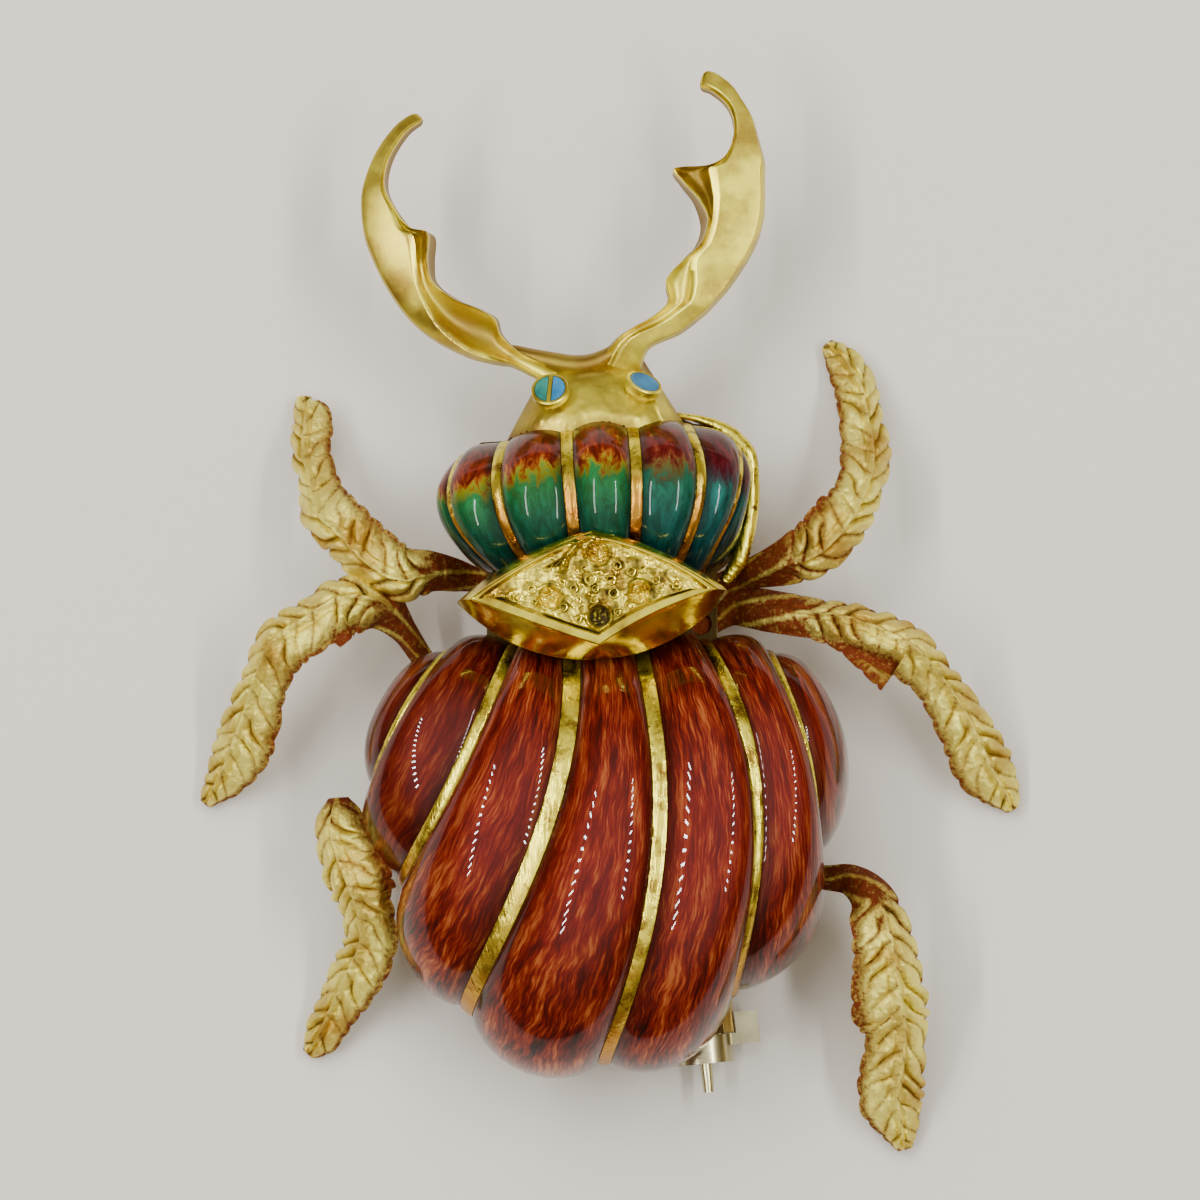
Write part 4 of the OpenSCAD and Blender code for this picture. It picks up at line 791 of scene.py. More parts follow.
def head_place(a, b):
    """Head surface at a across and b forward: x, y and height over the back plate, in millimetres."""
    back_line = head_back_y - head_tuck - head_nest * a ** 2
    x = a * (head_w + (head_front_w - head_w) * b) / 2 - head_brow * b
    y = back_line + (head_back_y + head_l - head_brow * a ** 2 - back_line) * b
    dome_share = np.maximum(0, 1 - np.abs(a ** 3)) ** 0.6
    z = head_side_h + (head_h + (head_front_h - head_h) * np.maximum(0, b) ** 2 - head_side_h) * dome_share
    strip = np.exp(-((a - 0.72 - 0.12 * b) / 0.04) ** 2)
    collar = 0.38 * (1 - step_up(b, 0.10, 0.60))
    roll = np.maximum(0, (b - 0.50) / 0.50) ** 1.8
    return x, y, z + 0.20 * strip + collar * dome_share - roll * (z - 0.25) * 0.60


# Where the crown runs back to, which is as far as the thorax stays below it
thorax_f, thorax_t = np.linspace(0, 1, 9)[None, :], np.linspace(0, 0.45, 40)[:, None]
dome_points = np.concatenate([
    lobe_point(thorax, lobe, thorax_f, thorax_t).reshape(-1, 3) for lobe in range(lobes)])
a = np.linspace(-1, 1, crown_across)[None, :]
b_try = np.linspace(-0.5, 1, 240)[:, None]
try_x, try_y, try_z = head_place(a, b_try)
gaps = (try_x[..., None] - dome_points[:, 0]) ** 2 + (try_y[..., None] - dome_points[:, 1]) ** 2
nearest = gaps.argmin(-1)
above_thorax = np.take_along_axis(gaps, nearest[..., None], -1)[..., 0] < 0.12
covered = above_thorax & (dome_points[nearest, 2] + 0.02 > try_z + base_z)
start = np.where(covered, b_try, -0.5).max(0)[None, :]
b = start + (1 - start) * np.linspace(0, 1, crown_along)[:, None]
head_x, head_y, head_z = head_place(a, b)
ledge = 1 - step_up((b - start) * head_l, 0.0, 0.35)
crown = np.stack([head_x, head_y, head_z - 0.05 * ledge + base_z], -1)
crown[..., 2] += rough_skin(crown, 31, (0.8, 0.05), (0.25, 0.012))
under = crown.copy()
under[..., 2] = base_z
points, faces = closed_sheet(crown[::-1], under[::-1])
head_parts = [(points, outward(points, faces))]
# The crown gets painted shade at its ledge, at its front and down both sides, the left one most
crown_front_shade, crown_left_shade, crown_right_shade = step_up(b, 0.62, 0.95), step_up(-a, 0.55, 1.0), step_up(a, 0.85, 1.0)
crown_painted_shade = 0.26 + 0.25 * ledge + 0.45 * crown_front_shade + 0.5 * crown_left_shade + 0.35 * crown_right_shade
soil_and_shade = [np.tile(np.clip(crown_painted_shade, 0, 1)[::-1].reshape(-1), 2)]

# A row for each station: outer x and y, wall foot x and y as shares of the length, depth, and as shares
# of the way across: the bevel that ends the broad face, the upper edge of the wall, and how deep the
# facet between those two is scooped
right_mandible_rows = [
    (0.060, -0.050, -0.120, -0.020, 0.42, 0.55, 0.88, 0.05), (0.087, 0.049, -0.026, 0.093, 0.74, 0.55, 0.86, 0.05),
    (0.201, 0.104, 0.087, 0.162, 0.82, 0.50, 0.86, 0.08), (0.287, 0.169, 0.132, 0.193, 0.90, 0.45, 0.88, 0.12),
    (0.315, 0.197, 0.153, 0.221, 0.92, 0.42, 0.93, 0.14), (0.363, 0.249, 0.150, 0.285, 0.95, 0.46, 0.96, 0.13),
    (0.408, 0.311, 0.205, 0.360, 0.98, 0.70, 0.90, 0.04), (0.460, 0.400, 0.250, 0.410, 1.00, 0.70, 0.80, 0.03),
    (0.487, 0.486, 0.268, 0.475, 1.00, 0.69, 0.83, 0.05), (0.494, 0.562, 0.245, 0.555, 0.98, 0.60, 0.90, 0.22),
    (0.494, 0.614, 0.200, 0.617, 0.94, 0.52, 0.95, 0.38), (0.494, 0.655, 0.177, 0.666, 0.90, 0.50, 0.97, 0.36),
    (0.494, 0.697, 0.294, 0.676, 0.88, 0.66, 0.95, 0.14), (0.480, 0.755, 0.363, 0.721, 0.82, 0.80, 0.92, 0.03),
    (0.453, 0.849, 0.384, 0.804, 0.70, 0.76, 0.88, 0.03), (0.418, 0.911, 0.363, 0.883, 0.60, 0.66, 0.90, 0.16),
    (0.374, 0.973, 0.305, 0.938, 0.50, 0.66, 0.90, 0.18), (0.287, 1.038, 0.260, 0.952, 0.36, 0.70, 0.92, 0.04)]
left_mandible_rows = [
    (0.010, -0.070, 0.060, -0.010, 0.42, 0.12, 0.88, 0.06), (-0.131, 0.002, -0.097, 0.051, 0.70, 0.08, 0.88, 0.12),
    (-0.186, 0.013, -0.176, 0.120, 0.80, 0.06, 0.90, 0.26), (-0.238, 0.023, -0.197, 0.178, 0.88, 0.05, 0.92, 0.38),
    (-0.307, 0.044, -0.255, 0.213, 0.92, 0.08, 0.93, 0.44), (-0.414, 0.099, -0.335, 0.247, 0.98, 0.24, 0.92, 0.36),
    (-0.507, 0.178, -0.404, 0.302, 1.00, 0.50, 0.92, 0.16), (-0.586, 0.292, -0.414, 0.371, 1.00, 0.60, 0.90, 0.12),
    (-0.638, 0.402, -0.414, 0.465, 0.98, 0.62, 0.93, 0.30), (-0.659, 0.471, -0.483, 0.485, 0.95, 0.70, 0.95, 0.20),
    (-0.669, 0.558, -0.542, 0.554, 0.88, 0.80, 0.90, 0.02), (-0.662, 0.637, -0.576, 0.633, 0.80, 0.76, 0.86, 0.02),
    (-0.621, 0.751, -0.562, 0.727, 0.68, 0.74, 0.84, 0.02), (-0.552, 0.851, -0.507, 0.820, 0.54, 0.74, 0.84, 0.02),
    (-0.480, 0.906, -0.448, 0.865, 0.38, 0.74, 0.84, 0.02)]
mandible_l, mandible_t = 12.5, 2.2


def blade(rows, root, slope, face_painted_shade, stations=260):
    """Rings of a mandible and their painted shade: broad face, bevel, scooped facet, thin upper edge, wall and
    back.
    """
    u = np.linspace(0, len(rows) - 1, stations)
    row = smooth(rows, u)
    outer, inner = (np.array(root) + row[:, k:k + 2] * mandible_l for k in (0, 2))
    foot = base_z + 0.35 + 0.5 * np.sin(np.pi / 2 * u / (len(rows) - 1))
    depth, ridge, edge, scoop = row[:, 4:5] * mandible_t, row[:, 5:6], row[:, 6:7], np.maximum(0, row[:, 7:8])
    edge = np.maximum(edge, ridge + 0.16)
    s, w = np.linspace(0, 1, 26)[None, :], np.linspace(0, 1, 11)[None, 1:]
    flat = 0 * ridge
    face_across = s ** 1.5 * ridge
    face_up = 0.34 + (0.66 - slope) * (1 - np.maximum(0, 1 - s / 0.2) ** 2.0) + slope * s + flat
    bevel_across, bevel_up = ridge + np.array([[0.02, 0.10]]), np.array([[0.995, 0.955]]) + flat
    facet_across = ridge + 0.10 + (edge - ridge - 0.13) * w
    facet_up = 0.94 + 0.02 * w - scoop * np.sin(np.pi * np.minimum(1, w * 1.02)) ** 0.7
    edge_across, edge_up = edge + np.array([[-0.02, 0.0, 0.015]]), np.array([[0.975, 0.96, 0.90]]) + flat
    wall_across, wall_up = edge + 0.015 + (0.985 - edge) * w, 0.90 - 0.68 * w ** 0.8 + flat
    back_across = np.array([[0.92, 0.75, 0.52, 0.3, 0.12]]) + flat
    back_up = np.array([[0.08, 0.0, 0.0, 0.0, 0.10]]) + flat
    across = np.concatenate([face_across, bevel_across, facet_across, edge_across, wall_across, back_across], 1)
    up = np.concatenate([face_up, bevel_up, facet_up, edge_up, wall_up, back_up], 1)
    plan = outer[:, None] * (1 - across[..., None]) + inner[:, None] * across[..., None]
    rings = raised(plan, foot[:, None] + up * depth)
    blunt = np.sqrt(1 - np.clip((np.linspace(0, 1, stations) - 0.965) / 0.036, 0, 1) ** 2)[:, None, None]
    middle = rings.mean(1, keepdims=True)
    facet_shade = np.clip(scoop * 2.0, 0, 0.8) * np.sin(np.pi * w) ** 0.5
    # Painted shade: darker towards the face's outer edge, in the scooped facet, down the wall and on the back
    shade = np.concatenate([face_painted_shade + 0.3 * (1 - s) ** 4 + flat, 0 * bevel_up, facet_shade, 0 * edge_up,
                            0.75 + 0.2 * w + flat, 0 * back_up + 0.9], 1)
    return middle + (rings - middle) * blunt, shade


for rows, root, slope, face_painted_shade in ((right_mandible_rows, (1.0, head_back_y + 2.05), 0.10, 0.03),
                                (left_mandible_rows, (-2.0, head_back_y + 1.85), 0.31, 0.26)):
    rings, shade = blade(rows, root, slope, face_painted_shade)
    head_parts.append(closed_tube(rings))
    soil_and_shade += [shade.reshape(-1), np.zeros(2)]
# The web that the two mandibles' roots run together in, as a rounded brow along the head's front, darkened
# all over by painted shade
brow_line = [(-3.9, 11.32, 4.6), (-3.05, 10.98, 4.75), (-2.1, 10.72, 4.75), (-1.2, 10.55, 4.75),
             (-0.4, 10.62, 4.75), (0.3, 10.95, 4.8), (0.85, 11.4, 4.9)]
brow_steps, brow_thin, brow_swell, brow_tall = 90, 0.12, 0.36, 1.5
brow = smooth(brow_line, np.linspace(0, len(brow_line) - 1, brow_steps))
way = np.gradient(brow[:, :2], axis=0)
sideways = unit(np.stack([-way[:, 1], way[:, 0]], -1))
brow_r = brow_thin + brow_swell * np.sin(np.pi * np.linspace(0.02, 0.98, brow_steps)) ** 0.6
head_parts.append(tube_along(brow, sideways, brow_r, 28, brow_tall))
soil_and_shade.append(np.full(len(head_parts[-1][0]), 0.80))
head_parts.append(post(0, head_back_y + 0.9, peg_low, peg_high, peg_r))
soil_and_shade.append(np.zeros(len(head_parts[-1][0])))

# Eyes: a waisted collet each with a fluted foot, leaning forward, and a gold bar across the left one
collet_r, collet_h, collet_wall, eye_t, stone_gap = 0.82, 1.15, 0.14, 0.4, 0.03
collet_sides, flutes, flute_depth = 64, 8, 0.14
bar_w, bar_inset, bar_rise = 0.16, 0.07, 0.03


def eye_frame(x, y, z, forward, sideways):
    """Rotation and place of an eye: leant towards the mandibles and then to the side, in degrees."""
    lean = Matrix.Rotation(math.radians(sideways), 3, "Y") @ Matrix.Rotation(math.radians(-forward), 3, "X")
    return np.array(lean), np.array([x, y, z])


def collet(profile, eye):
    """Solid of revolution through (radius, height) rows in an eye's frame, fluted in its lower half."""
    turn = circle(collet_sides)
    rings = []
    for radius, up in profile:
        wave = 1 + flute_depth * np.cos(turn * flutes) * (1 if up < collet_h * 0.5 else 0)
        rings.append(np.stack([radius * wave * np.cos(turn), radius * wave * np.sin(turn), 0 * turn + up], -1))
    points, faces = closed_tube(np.stack(rings))
    lean, place = eye
    return points @ lean.T + place, faces


left_eye = eye_frame(-1.95, head_back_y + 0.25, base_z + 2.0, 30, -6)
right_eye = eye_frame(1.55, head_back_y + 0.3, base_z + 1.75, 48, 36)
seat_low = collet_h - eye_t - stone_gap
cup = [(collet_r * 0.62, -0.5), (collet_r * 0.62, collet_h / 3), (collet_r * 0.9, collet_h * 0.58),
       (collet_r, collet_h * 0.7), (collet_r, collet_h - 0.05), (collet_r - 0.05, collet_h),
       (collet_r - collet_wall, collet_h), (collet_r - collet_wall, seat_low), (0.1, seat_low)]
for eye in (left_eye, right_eye):
    head_parts.append(collet(cup, eye))
    soil_and_shade.append(np.where(np.arange(len(head_parts[-1][0])) < collet_sides * 3, 0.6, 0.05))
bar_box = np.array([(x, y, z) for x in (-bar_w / 2, bar_w / 2)
                    for y in (bar_inset - collet_r, collet_r - bar_inset)
                    for z in (seat_low - bar_rise, collet_h + bar_rise)])
bar_sides = [(0, 1, 3, 2), (4, 6, 7, 5), (0, 4, 5, 1), (2, 3, 7, 6), (0, 2, 6, 4), (1, 5, 7, 3)]
bar_faces = outward(bar_box, bar_sides)
head_parts.append((bar_box @ left_eye[0].T + left_eye[1], bar_faces))
soil_and_shade.append(np.zeros(8))
points, faces = joined(head_parts)
piece = make_piece("head_casting", points, faces, {"dirt_and_shade": np.concatenate(soil_and_shade)}, sharp=38)

# Satin gold: cast, brushed and then handled, mottled by fingers, and mixed to a coppery brown by its
# mark, which on the head is mostly painted shade: on the mandibles' walls, the crown's ledge, front and
# sides, and the brow
satin_gold, tree, shader = new_material("satin_yellow_gold")
where = add_node(tree, "ShaderNodeTexCoord").outputs["Object"]
dirt_and_shade_mark = add_node(tree, "ShaderNodeAttribute", attribute_name="dirt_and_shade").outputs["Fac"]
mottle = add_node(tree, "ShaderNodeTexNoise", {
    "Vector": where, "Scale": 520.0, "Detail": 5.0, "Roughness": 0.6})
fine = add_node(tree, "ShaderNodeTexNoise", {"Vector": where, "Scale": 5200.0, "Detail": 3.0})
tone = add_node(tree, "ShaderNodeValToRGB", {"Fac": mottle}, stops=((0.34, "C6AA42"), (0.60, "FEF254")))
soiled_and_shaded = add_node(tree, "ShaderNodeMix", {
    "Factor": dirt_and_shade_mark, "A": tone, "B": linear("805E30")}, data_type="RGBA")
satin = add_node(tree, "ShaderNodeMath", {0: dirt_and_shade_mark, 1: 0.45, 2: mottle}, operation="MULTIPLY_ADD")
rough = add_node(tree, "ShaderNodeMapRange", {
    "Value": satin, "From Min": 0.3, "From Max": 0.9, "To Min": 0.24, "To Max": 0.55})
dent = add_node(tree, "ShaderNodeBump", {"Height": fine, "Strength": 0.2, "Distance": 0.00003})
plug(shader, {"Base Color": soiled_and_shaded, "Metallic": 1.0, "Roughness": rough, "Normal": dent})
piece.data.materials.append(satin_gold)
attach(piece, "brooch")
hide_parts("head")

# The stones are opaque and waxy, like turquoise: one green and one blue half on the left, a blue on the right
for node, slot, deep, pale in (("left_eye_green", "green_stone", "17524E", "2E7A6C"),
                               ("left_eye_blue", "blue_stone", "1A5880", "3078A4"),
                               ("right_eye", "blue_stone", "1A5880", "3078A4")):
    stone, tree, shader = new_material(f"{node}_turquoise")
    where = add_node(tree, "ShaderNodeTexCoord").outputs["Object"]
    cloud = add_node(tree, "ShaderNodeTexNoise", {"Vector": where, "Scale": 1500.0, "Detail": 4.0})
    tone = add_node(tree, "ShaderNodeValToRGB", {"Fac": cloud}, stops=((0.35, deep), (0.65, pale)))
    dent = add_node(tree, "ShaderNodeBump", {"Height": cloud, "Strength": 0.1, "Distance": 0.00005})
    plug(shader, {"Base Color": tone, "Roughness": 0.28, "Normal": dent, "Subsurface Weight": 0.08,
                  "Subsurface Scale": 0.0003})
    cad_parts[node].data.materials.clear()
    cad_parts[node].data.materials.append(stone)


# Legs: six cast arms drawn out as feathered leaves, each with a midrib and slanting side veins, and
# pegged into the back plate. The casting skin is fine sand grain, darker in the creases, and brown
# painted shade darkens the walls, the undersides and the pegs in their holes.
leg_w, leg_t, knee_h, leg_lean = 2.6, 1.3, 4.0, 24
leaf_keel, leg_thin, leg_peg_low, leg_peg_high = 0.7, 0.35, 1.9, 3.45
vein_pitch, vein_relief, vein_slant = 0.92, 0.56, 0.95
midrib_h, crease_h, stalk_ridge_h, flap_run = 0.20, 0.12, 0.08, 0.22
leg_stations, top_cols, low_cols = 300, 41, 13
# A row for each section from root to foot: x, y, height of the underside, width and lean, all as shares
leg_rows = {
    "front_left": [
        (0.00, 0.00, 0.40, 0.35, 0.0), (-0.06, 0.03, 0.40, 0.38, 0.0), (-0.11, 0.04, 0.44, 0.42, 0.1),
        (-0.17, 0.05, 0.64, 0.55, 0.4), (-0.26, 0.06, 0.85, 0.70, 0.8), (-0.36, 0.045, 0.96, 0.92, 1.0),
        (-0.46, 0.10, 1.00, 1.00, 1.0), (-0.56, 0.20, 1.00, 0.97, 1.0), (-0.64, 0.28, 0.90, 0.96, 1.0),
        (-0.68, 0.39, 0.62, 0.72, 1.0), (-0.72, 0.52, 0.34, 0.70, 1.0), (-0.72, 0.63, 0.14, 0.70, 0.8),
        (-0.75, 0.70, 0.03, 0.42, 0.4), (-0.75, 0.73, 0.00, 0.18, 0.0)],
    "mid_left": [
        (0.00, 0.00, 0.40, 0.35, 0.0), (-0.07, 0.05, 0.40, 0.36, 0.0), (-0.13, 0.11, 0.44, 0.38, 0.0),
        (-0.19, 0.20, 0.62, 0.46, 0.3), (-0.27, 0.28, 0.88, 0.82, 0.7), (-0.39, 0.29, 0.98, 0.96, 0.8),
        (-0.50, 0.22, 1.02, 0.95, 1.0), (-0.62, 0.14, 1.00, 1.00, 1.0), (-0.69, 0.02, 0.78, 0.85, 1.0),
        (-0.74, -0.10, 0.48, 1.00, 1.0), (-0.79, -0.21, 0.26, 1.05, 0.9), (-0.85, -0.31, 0.10, 0.78, 0.6),
        (-0.91, -0.38, 0.02, 0.42, 0.2), (-0.94, -0.42, 0.00, 0.20, 0.0)],
    "hind_left": [
        (-0.40, 0.25, 0.86, 0.35, 0.6), (-0.395, 0.18, 0.92, 0.74, 0.8), (-0.385, 0.08, 0.98, 0.92, 1.0),
        (-0.35, -0.02, 1.00, 1.04, 1.0), (-0.31, -0.12, 0.98, 1.08, 1.0), (-0.28, -0.23, 0.84, 0.92, 1.0),
        (-0.275, -0.38, 0.58, 0.94, 1.0), (-0.35, -0.53, 0.36, 0.94, 0.9), (-0.44, -0.67, 0.14, 0.72, 0.6),
        (-0.51, -0.79, 0.03, 0.60, 0.3), (-0.57, -0.86, 0.00, 0.22, 0.0)],
    "hind_left_neck": [
        (0.00, 0.00, 0.40, 0.35, 0.0), (-0.08, 0.01, 0.40, 0.36, 0.0), (-0.16, 0.02, 0.42, 0.38, 0.0),
        (-0.24, 0.03, 0.62, 0.42, 0.0), (-0.32, 0.03, 0.96, 0.46, 0.3)],
    "front_right": [
        (0.00, 0.00, 0.40, 0.35, 0.0), (0.07, 0.02, 0.42, 0.40, 0.0), (0.12, 0.03, 0.50, 0.45, 0.2),
        (0.18, 0.05, 0.68, 0.52, 0.5), (0.32, 0.09, 0.88, 0.82, 1.0), (0.43, 0.14, 1.00, 0.94, 1.0),
        (0.52, 0.24, 1.00, 0.92, 1.0), (0.58, 0.36, 0.82, 0.78, 1.0), (0.60, 0.48, 0.56, 0.86, 1.0),
        (0.58, 0.62, 0.32, 0.74, 1.0), (0.56, 0.74, 0.14, 0.72, 0.8), (0.51, 0.84, 0.03, 0.58, 0.4),
        (0.45, 0.91, 0.00, 0.22, 0.0)],
    "mid_right": [
        (0.00, 0.00, 0.40, 0.45, 0.0), (0.05, 0.035, 0.41, 0.54, 0.0), (0.09, 0.05, 0.46, 0.62, 0.1),
        (0.14, 0.045, 0.60, 0.70, 0.3), (0.21, 0.03, 0.76, 0.74, 0.6), (0.32, 0.01, 0.88, 0.70, 0.9),
        (0.41, -0.01, 0.96, 0.80, 1.0), (0.50, -0.05, 1.02, 0.94, 1.0), (0.57, -0.09, 0.98, 0.92, 1.0),
        (0.63, -0.15, 0.76, 0.76, 1.0), (0.68, -0.22, 0.52, 0.86, 1.0), (0.73, -0.31, 0.30, 0.95, 0.9),
        (0.77, -0.39, 0.13, 0.98, 0.6), (0.82, -0.46, 0.02, 0.56, 0.3), (0.84, -0.50, 0.00, 0.20, 0.0)],
    "hind_right": [
        (0.00, 0.00, 0.40, 0.35, 0.0), (0.07, 0.00, 0.40, 0.36, 0.0), (0.13, -0.01, 0.42, 0.38, 0.0),
        (0.20, -0.02, 0.62, 0.42, 0.2), (0.27, -0.03, 0.84, 0.56, 0.6), (0.33, -0.08, 0.95, 0.78, 1.0),
        (0.36, -0.17, 1.00, 0.98, 1.0), (0.38, -0.26, 0.94, 1.08, 1.0), (0.39, -0.35, 0.82, 1.20, 1.0),
        (0.40, -0.44, 0.68, 1.24, 1.0), (0.41, -0.51, 0.54, 1.02, 1.0), (0.40, -0.60, 0.38, 1.08, 1.0),
        (0.39, -0.70, 0.18, 1.08, 0.8), (0.41, -0.78, 0.05, 0.75, 0.4), (0.43, -0.86, 0.00, 0.24, 0.0)],
}
# Each leg: its root, length, the side its leaf leans to, where its leaf starts, and where along it and how
# far in millimetres one leaf ends in a pointed flap on that side
legs = {
    "front_left": ((-4.3, 1.0), 12, 1, 0.30, 0.42, 0.0),
    "mid_left": ((-6.4, -3.2), 12, -1, 0.28, 0.45, 0.20),
    "hind_left": ((-7.4, -10.6), 10, -1, 0.04, 0.46, 0.15),
    "hind_left_neck": ((-7.4, -10.6), 10, -1, 2.0, 0.5, 0.0),
    "front_right": ((4.3, 1.0), 12, -1, 0.33, 0.52, 0.10),
    "mid_right": ((4.3, -0.6), 16, 1, 0.32, 0.56, 0.62),
    "hind_right": ((7.0, -11.3), 14, 1, 0.36, 0.66, 0.10),
}


def leaf_leg(name, seed):
    """Rings of a leg, carved on its upper side with a midrib and slanting veins, and its dirt and painted shade.
    """
    rows, (root, length, outer, leaf_from, flap_at, flap_w) = np.array(leg_rows[name]), legs[name]
    row = smooth(rows, np.linspace(0, len(rows) - 1, leg_stations))
    places = np.array(root) + length * row[:, :2]
    heading = unit(np.gradient(places, axis=0))
    side = np.stack([heading[:, 1], -heading[:, 0]], -1)
    along = np.concatenate([[0], np.cumsum(np.linalg.norm(np.diff(places, axis=0), axis=-1))])[:, None]
    half = leg_w / 2 * row[:, 3:4]
    thick = leg_t * (leg_thin + (1 - leg_thin) * row[:, 3:4])
    lean = np.radians(leg_lean * np.maximum(0, row[:, 4:5]) * outer)
    height = np.maximum(0, row[:, 2:3]) * knee_h + leaf_keel * thick
    share = np.linspace(0, 1, leg_stations)[:, None]
    leafy = step_up(share, leaf_from - 0.04, leaf_from + 0.06) * (1 - step_up(share, 0.97, 1.0))
    v = np.linspace(-1, 1, top_cols)[None, :]
    low = np.linspace(1, -1, low_cols + 2)[None, 1:-1]
    # Side veins run from the midrib outward and towards the foot, out of step on the two sides
    phase = (along - vein_slant * np.abs(v) * half) / vein_pitch + np.where(v > 0, 0.5, 0.0)
    phase = phase + 0.13 * np.sin(along * 2.3 + seed) + 0.1 * np.sin(along * 5.1 + seed * 2)
    lobe = np.abs(np.sin(np.pi * phase)) ** 0.45
    midrib = np.exp(-(v / 0.10) ** 2)
    crease = np.exp(-((np.abs(v) - 0.20) / 0.07) ** 2)
    uneven = 0.85 + 0.55 * np.sin(along * 1.7 + seed * 3 + np.where(v > 0, 2.0, 0.0))
    carved = vein_relief * leafy * (lobe - 0.70) * step_up(np.abs(v), 0.05, 0.30) * (1 - 0.6 * v ** 2) * uneven
    carved = carved + leafy * (midrib_h * midrib - crease_h * crease)
    # The stalk has low ridges, which are lighter: rubbed bright, and partly a painted highlight
    stalk = (0.5 + 0.5 * np.sin(5.5 * v + 1.9 * along + seed)) ** 3 * (1 - leafy)
    carved = carved + stalk_ridge_h * stalk
    edge_lobe = 1 + 0.15 * leafy * (lobe[:, [0, -1]] - 0.6)
    notch = np.where(v < 0, edge_lobe[:, :1], edge_lobe[:, 1:])
    # A flap grows along one leaf and ends at its point, and its wall turns down and is darkened by painted shade
    flap = flap_w * np.clip((share - flap_at + flap_run) / flap_run, 0, 1) ** 1.4 * (share < flap_at)
    bared = 0.40 * np.clip(flap / 0.5, 0, 1)
    wall = step_up(v * outer + bared, 0.74, 0.90) * leafy
    top_across = v * half * notch + outer * flap * np.maximum(0, v * outer) ** 3
    top_up = thick * (0.5 * (1 - np.abs(v) ** 1.5) - (0.22 + bared) * wall) + carved * (1 - wall)
    low_across = low * half * 0.93 + outer * flap * np.maximum(0, low * outer) ** 3
    low_up = -thick * 0.7 * (1 - np.abs(low) ** 2.6) ** 0.75 - 0.02
    across, up = np.concatenate([top_across, low_across], 1), np.concatenate([top_up, low_up], 1)
    flat = across * np.cos(lean) - up * np.sin(lean)
    rise = across * np.sin(lean) + up * np.cos(lean)
    rings = raised(places[:, None] + side[:, None] * flat[..., None], height + rise)
    rings[..., 2] += rough_skin(rings, seed, (0.35, 0.055), (0.12, 0.026))
    rings[..., 2] = np.maximum(rings[..., 2], 0.01)
    rooted = 0.40 * (1 - step_up(share, leaf_from, leaf_from + 0.22))
    # Darker in the creases and at the edges, brown on the roots, lighter on the stalk ridges, painted shade on
    # walls
    grime_and_shade = leafy * (1 - lobe) ** 1.1 + 0.92 * (1 - leafy) + 0.25 * step_up(np.abs(v), 0.9, 1.0) + rooted
    grime_and_shade = np.maximum(grime_and_shade - 0.75 * stalk, (0.85 + bared) * wall)
    # Painted shade under the leaf, and brown under the roots
    low_grime_and_shade = np.maximum(0.95 * (1 - leafy), 0.35 + 0.55 * np.abs(low) ** 3)
    grime_and_shade = np.clip(np.concatenate([grime_and_shade, low_grime_and_shade], 1), 0, 1)
    return closed_tube(rings), np.concatenate([grime_and_shade.reshape(-1), [0.5, 0.5]])


# Sand-cast gold: a fine bright grain, rubbed smooth on the ridges, brown-red where the mark is high: brown
# roots, darker creases, and painted shade on walls, undersides and pegs
cast_gold = soiled_and_shaded_gold(
    "sand_cast_gold", {"Scale": 5200.0, "Detail": 4.0, "Roughness": 0.7}, {"Scale": 480.0, "Detail": 4.0},
    held=1.3, soil_and_shade=(0.90, 1.60), tones=((0.32, "C8A440"), (0.58, "FEF276")), dirt_and_shade="6E2E0E", dirt_metal=0.8,
    rough={"From Min": 0.5, "From Max": 1.6, "To Min": 0.30, "To Max": 0.66},
    dents={"Strength": 0.8, "Distance": 0.00012})
# The pegs sit in their holes and are made dark all over, a painted shade
peg_painted_shade = 1.5

for node, names in (("left_legs", ("front_left", "mid_left")), ("right_legs", ("front_right", "mid_right")),
                    ("hind_left_leg", ("hind_left", "hind_left_neck")), ("hind_right_leg", ("hind_right",))):
    parts, soil_and_shade = [], []
    for name in names:
        tube, grime_and_shade = leaf_leg(name, 40 + 3 * list(legs).index(name))
        parts.append(tube)
        soil_and_shade.append(grime_and_shade)
    for x, y in {legs[name][0] for name in names}:
        parts.append(post(x, y, leg_peg_low, leg_peg_high, peg_r))
        soil_and_shade.append(np.full(len(parts[-1][0]), peg_painted_shade))
    points, faces = joined(parts)
    piece = make_piece(f"{node}_cast", points, faces, {"dirt_and_shade": np.concatenate(soil_and_shade)}, sharp=70)
    piece.data.materials.append(cast_gold)
    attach(piece, "brooch")
    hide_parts(node)


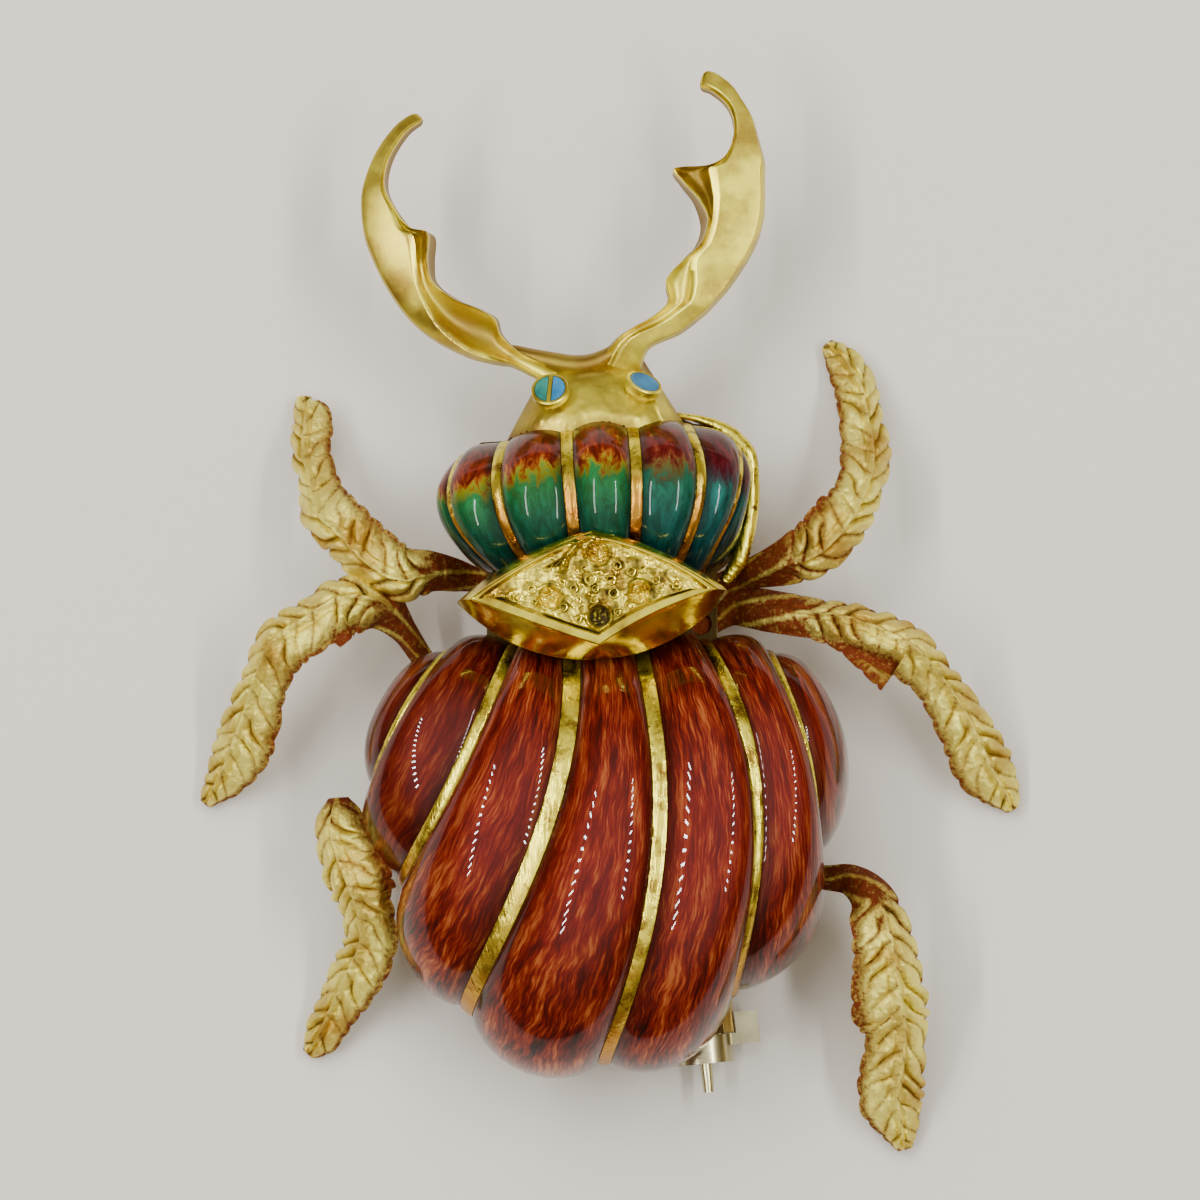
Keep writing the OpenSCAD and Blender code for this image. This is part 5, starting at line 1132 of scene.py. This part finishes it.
# Back plate, hinge and catch: a flat gold plate that everything is pegged to, with a pale pin that swings
# on a rivet between two ears and a roller whose slot lets the pin in and out of its housing.
def lined_metal(name, lines, line_detail, patch, tones, rough, dents):
    """Metal in two tones with the fine lines of its brush or lathe: material, tree, shader and tone."""
    material, tree, shader = new_material(name)
    where = add_node(tree, "ShaderNodeTexCoord").outputs["Object"]
    line_map = add_node(tree, "ShaderNodeMapping", {"Vector": where, "Scale": lines})
    line = add_node(tree, "ShaderNodeTexNoise", {"Vector": line_map, "Scale": 1.0, "Detail": line_detail})
    dull = add_node(tree, "ShaderNodeTexNoise", {"Vector": where, "Scale": patch, "Detail": 4.0})
    tone = add_node(tree, "ShaderNodeValToRGB", {"Fac": dull}, stops=tones)
    rough = add_node(tree, "ShaderNodeMapRange", {"Value": dull, "To Min": rough[0], "To Max": rough[1]})
    dent = add_node(tree, "ShaderNodeBump", {"Height": line, "Strength": dents, "Distance": 0.00003})
    plug(shader, {"Base Color": tone, "Metallic": 1.0, "Roughness": rough, "Normal": dent})
    return material, tree, shader, tone


# Plain back gold: rolled plate, brushed lengthwise and dull, darkened to brown on what faces up, a painted
# shade for where the plate shows between the shells
plain_gold, tree, shader, tone = lined_metal("plain_back_gold", (9000, 500, 900), 4.0, 260.0,
                                             ((0.35, "BA9446"), (0.65, "DEC878")), (0.25, 0.45), 0.2)
facing = add_node(tree, "ShaderNodeNewGeometry").outputs["Normal"]
way_up = add_node(tree, "ShaderNodeSeparateXYZ", {"Vector": facing}).outputs["Z"]
# Painted shade: brown on what faces up
plate_painted_shade = add_node(tree, "ShaderNodeMapRange", {"Value": way_up, "From Min": 0.3, "From Max": 0.9, "To Max": 0.9})
plate_shaded = add_node(tree, "ShaderNodeMix", {"Factor": plate_painted_shade, "A": tone, "B": linear("26150A")}, data_type="RGBA")
plug(shader, {"Base Color": plate_shaded})

# Pale metal: drawn and turned white-gold findings, slightly yellow, with fine rings left by the lathe
pale_metal = lined_metal("pale_turned_metal", (700, 7000, 700), 3.0, 500.0,
                         ((0.3, "9C9270"), (0.65, "D0C89E")), (0.15, 0.35), 0.25)[0]
bevel_mm, bevel_from_deg = 0.04, 40
for node, material, slot in (("back_plate", plain_gold, "gold"), ("pin_stem", pale_metal, "pale_metal"),
                             ("hinge_rivet", pale_metal, "pale_metal"),
                             ("catch_roller", pale_metal, "pale_metal")):
    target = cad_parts[node]
    target.data.materials.clear()
    target.data.materials.append(material)
    softened = target.modifiers.new("softened_edges", "BEVEL")
    softened.width = bevel_mm * mm
    softened.segments = 2
    softened.limit_method = "ANGLE"
    softened.angle_limit = math.radians(bevel_from_deg)
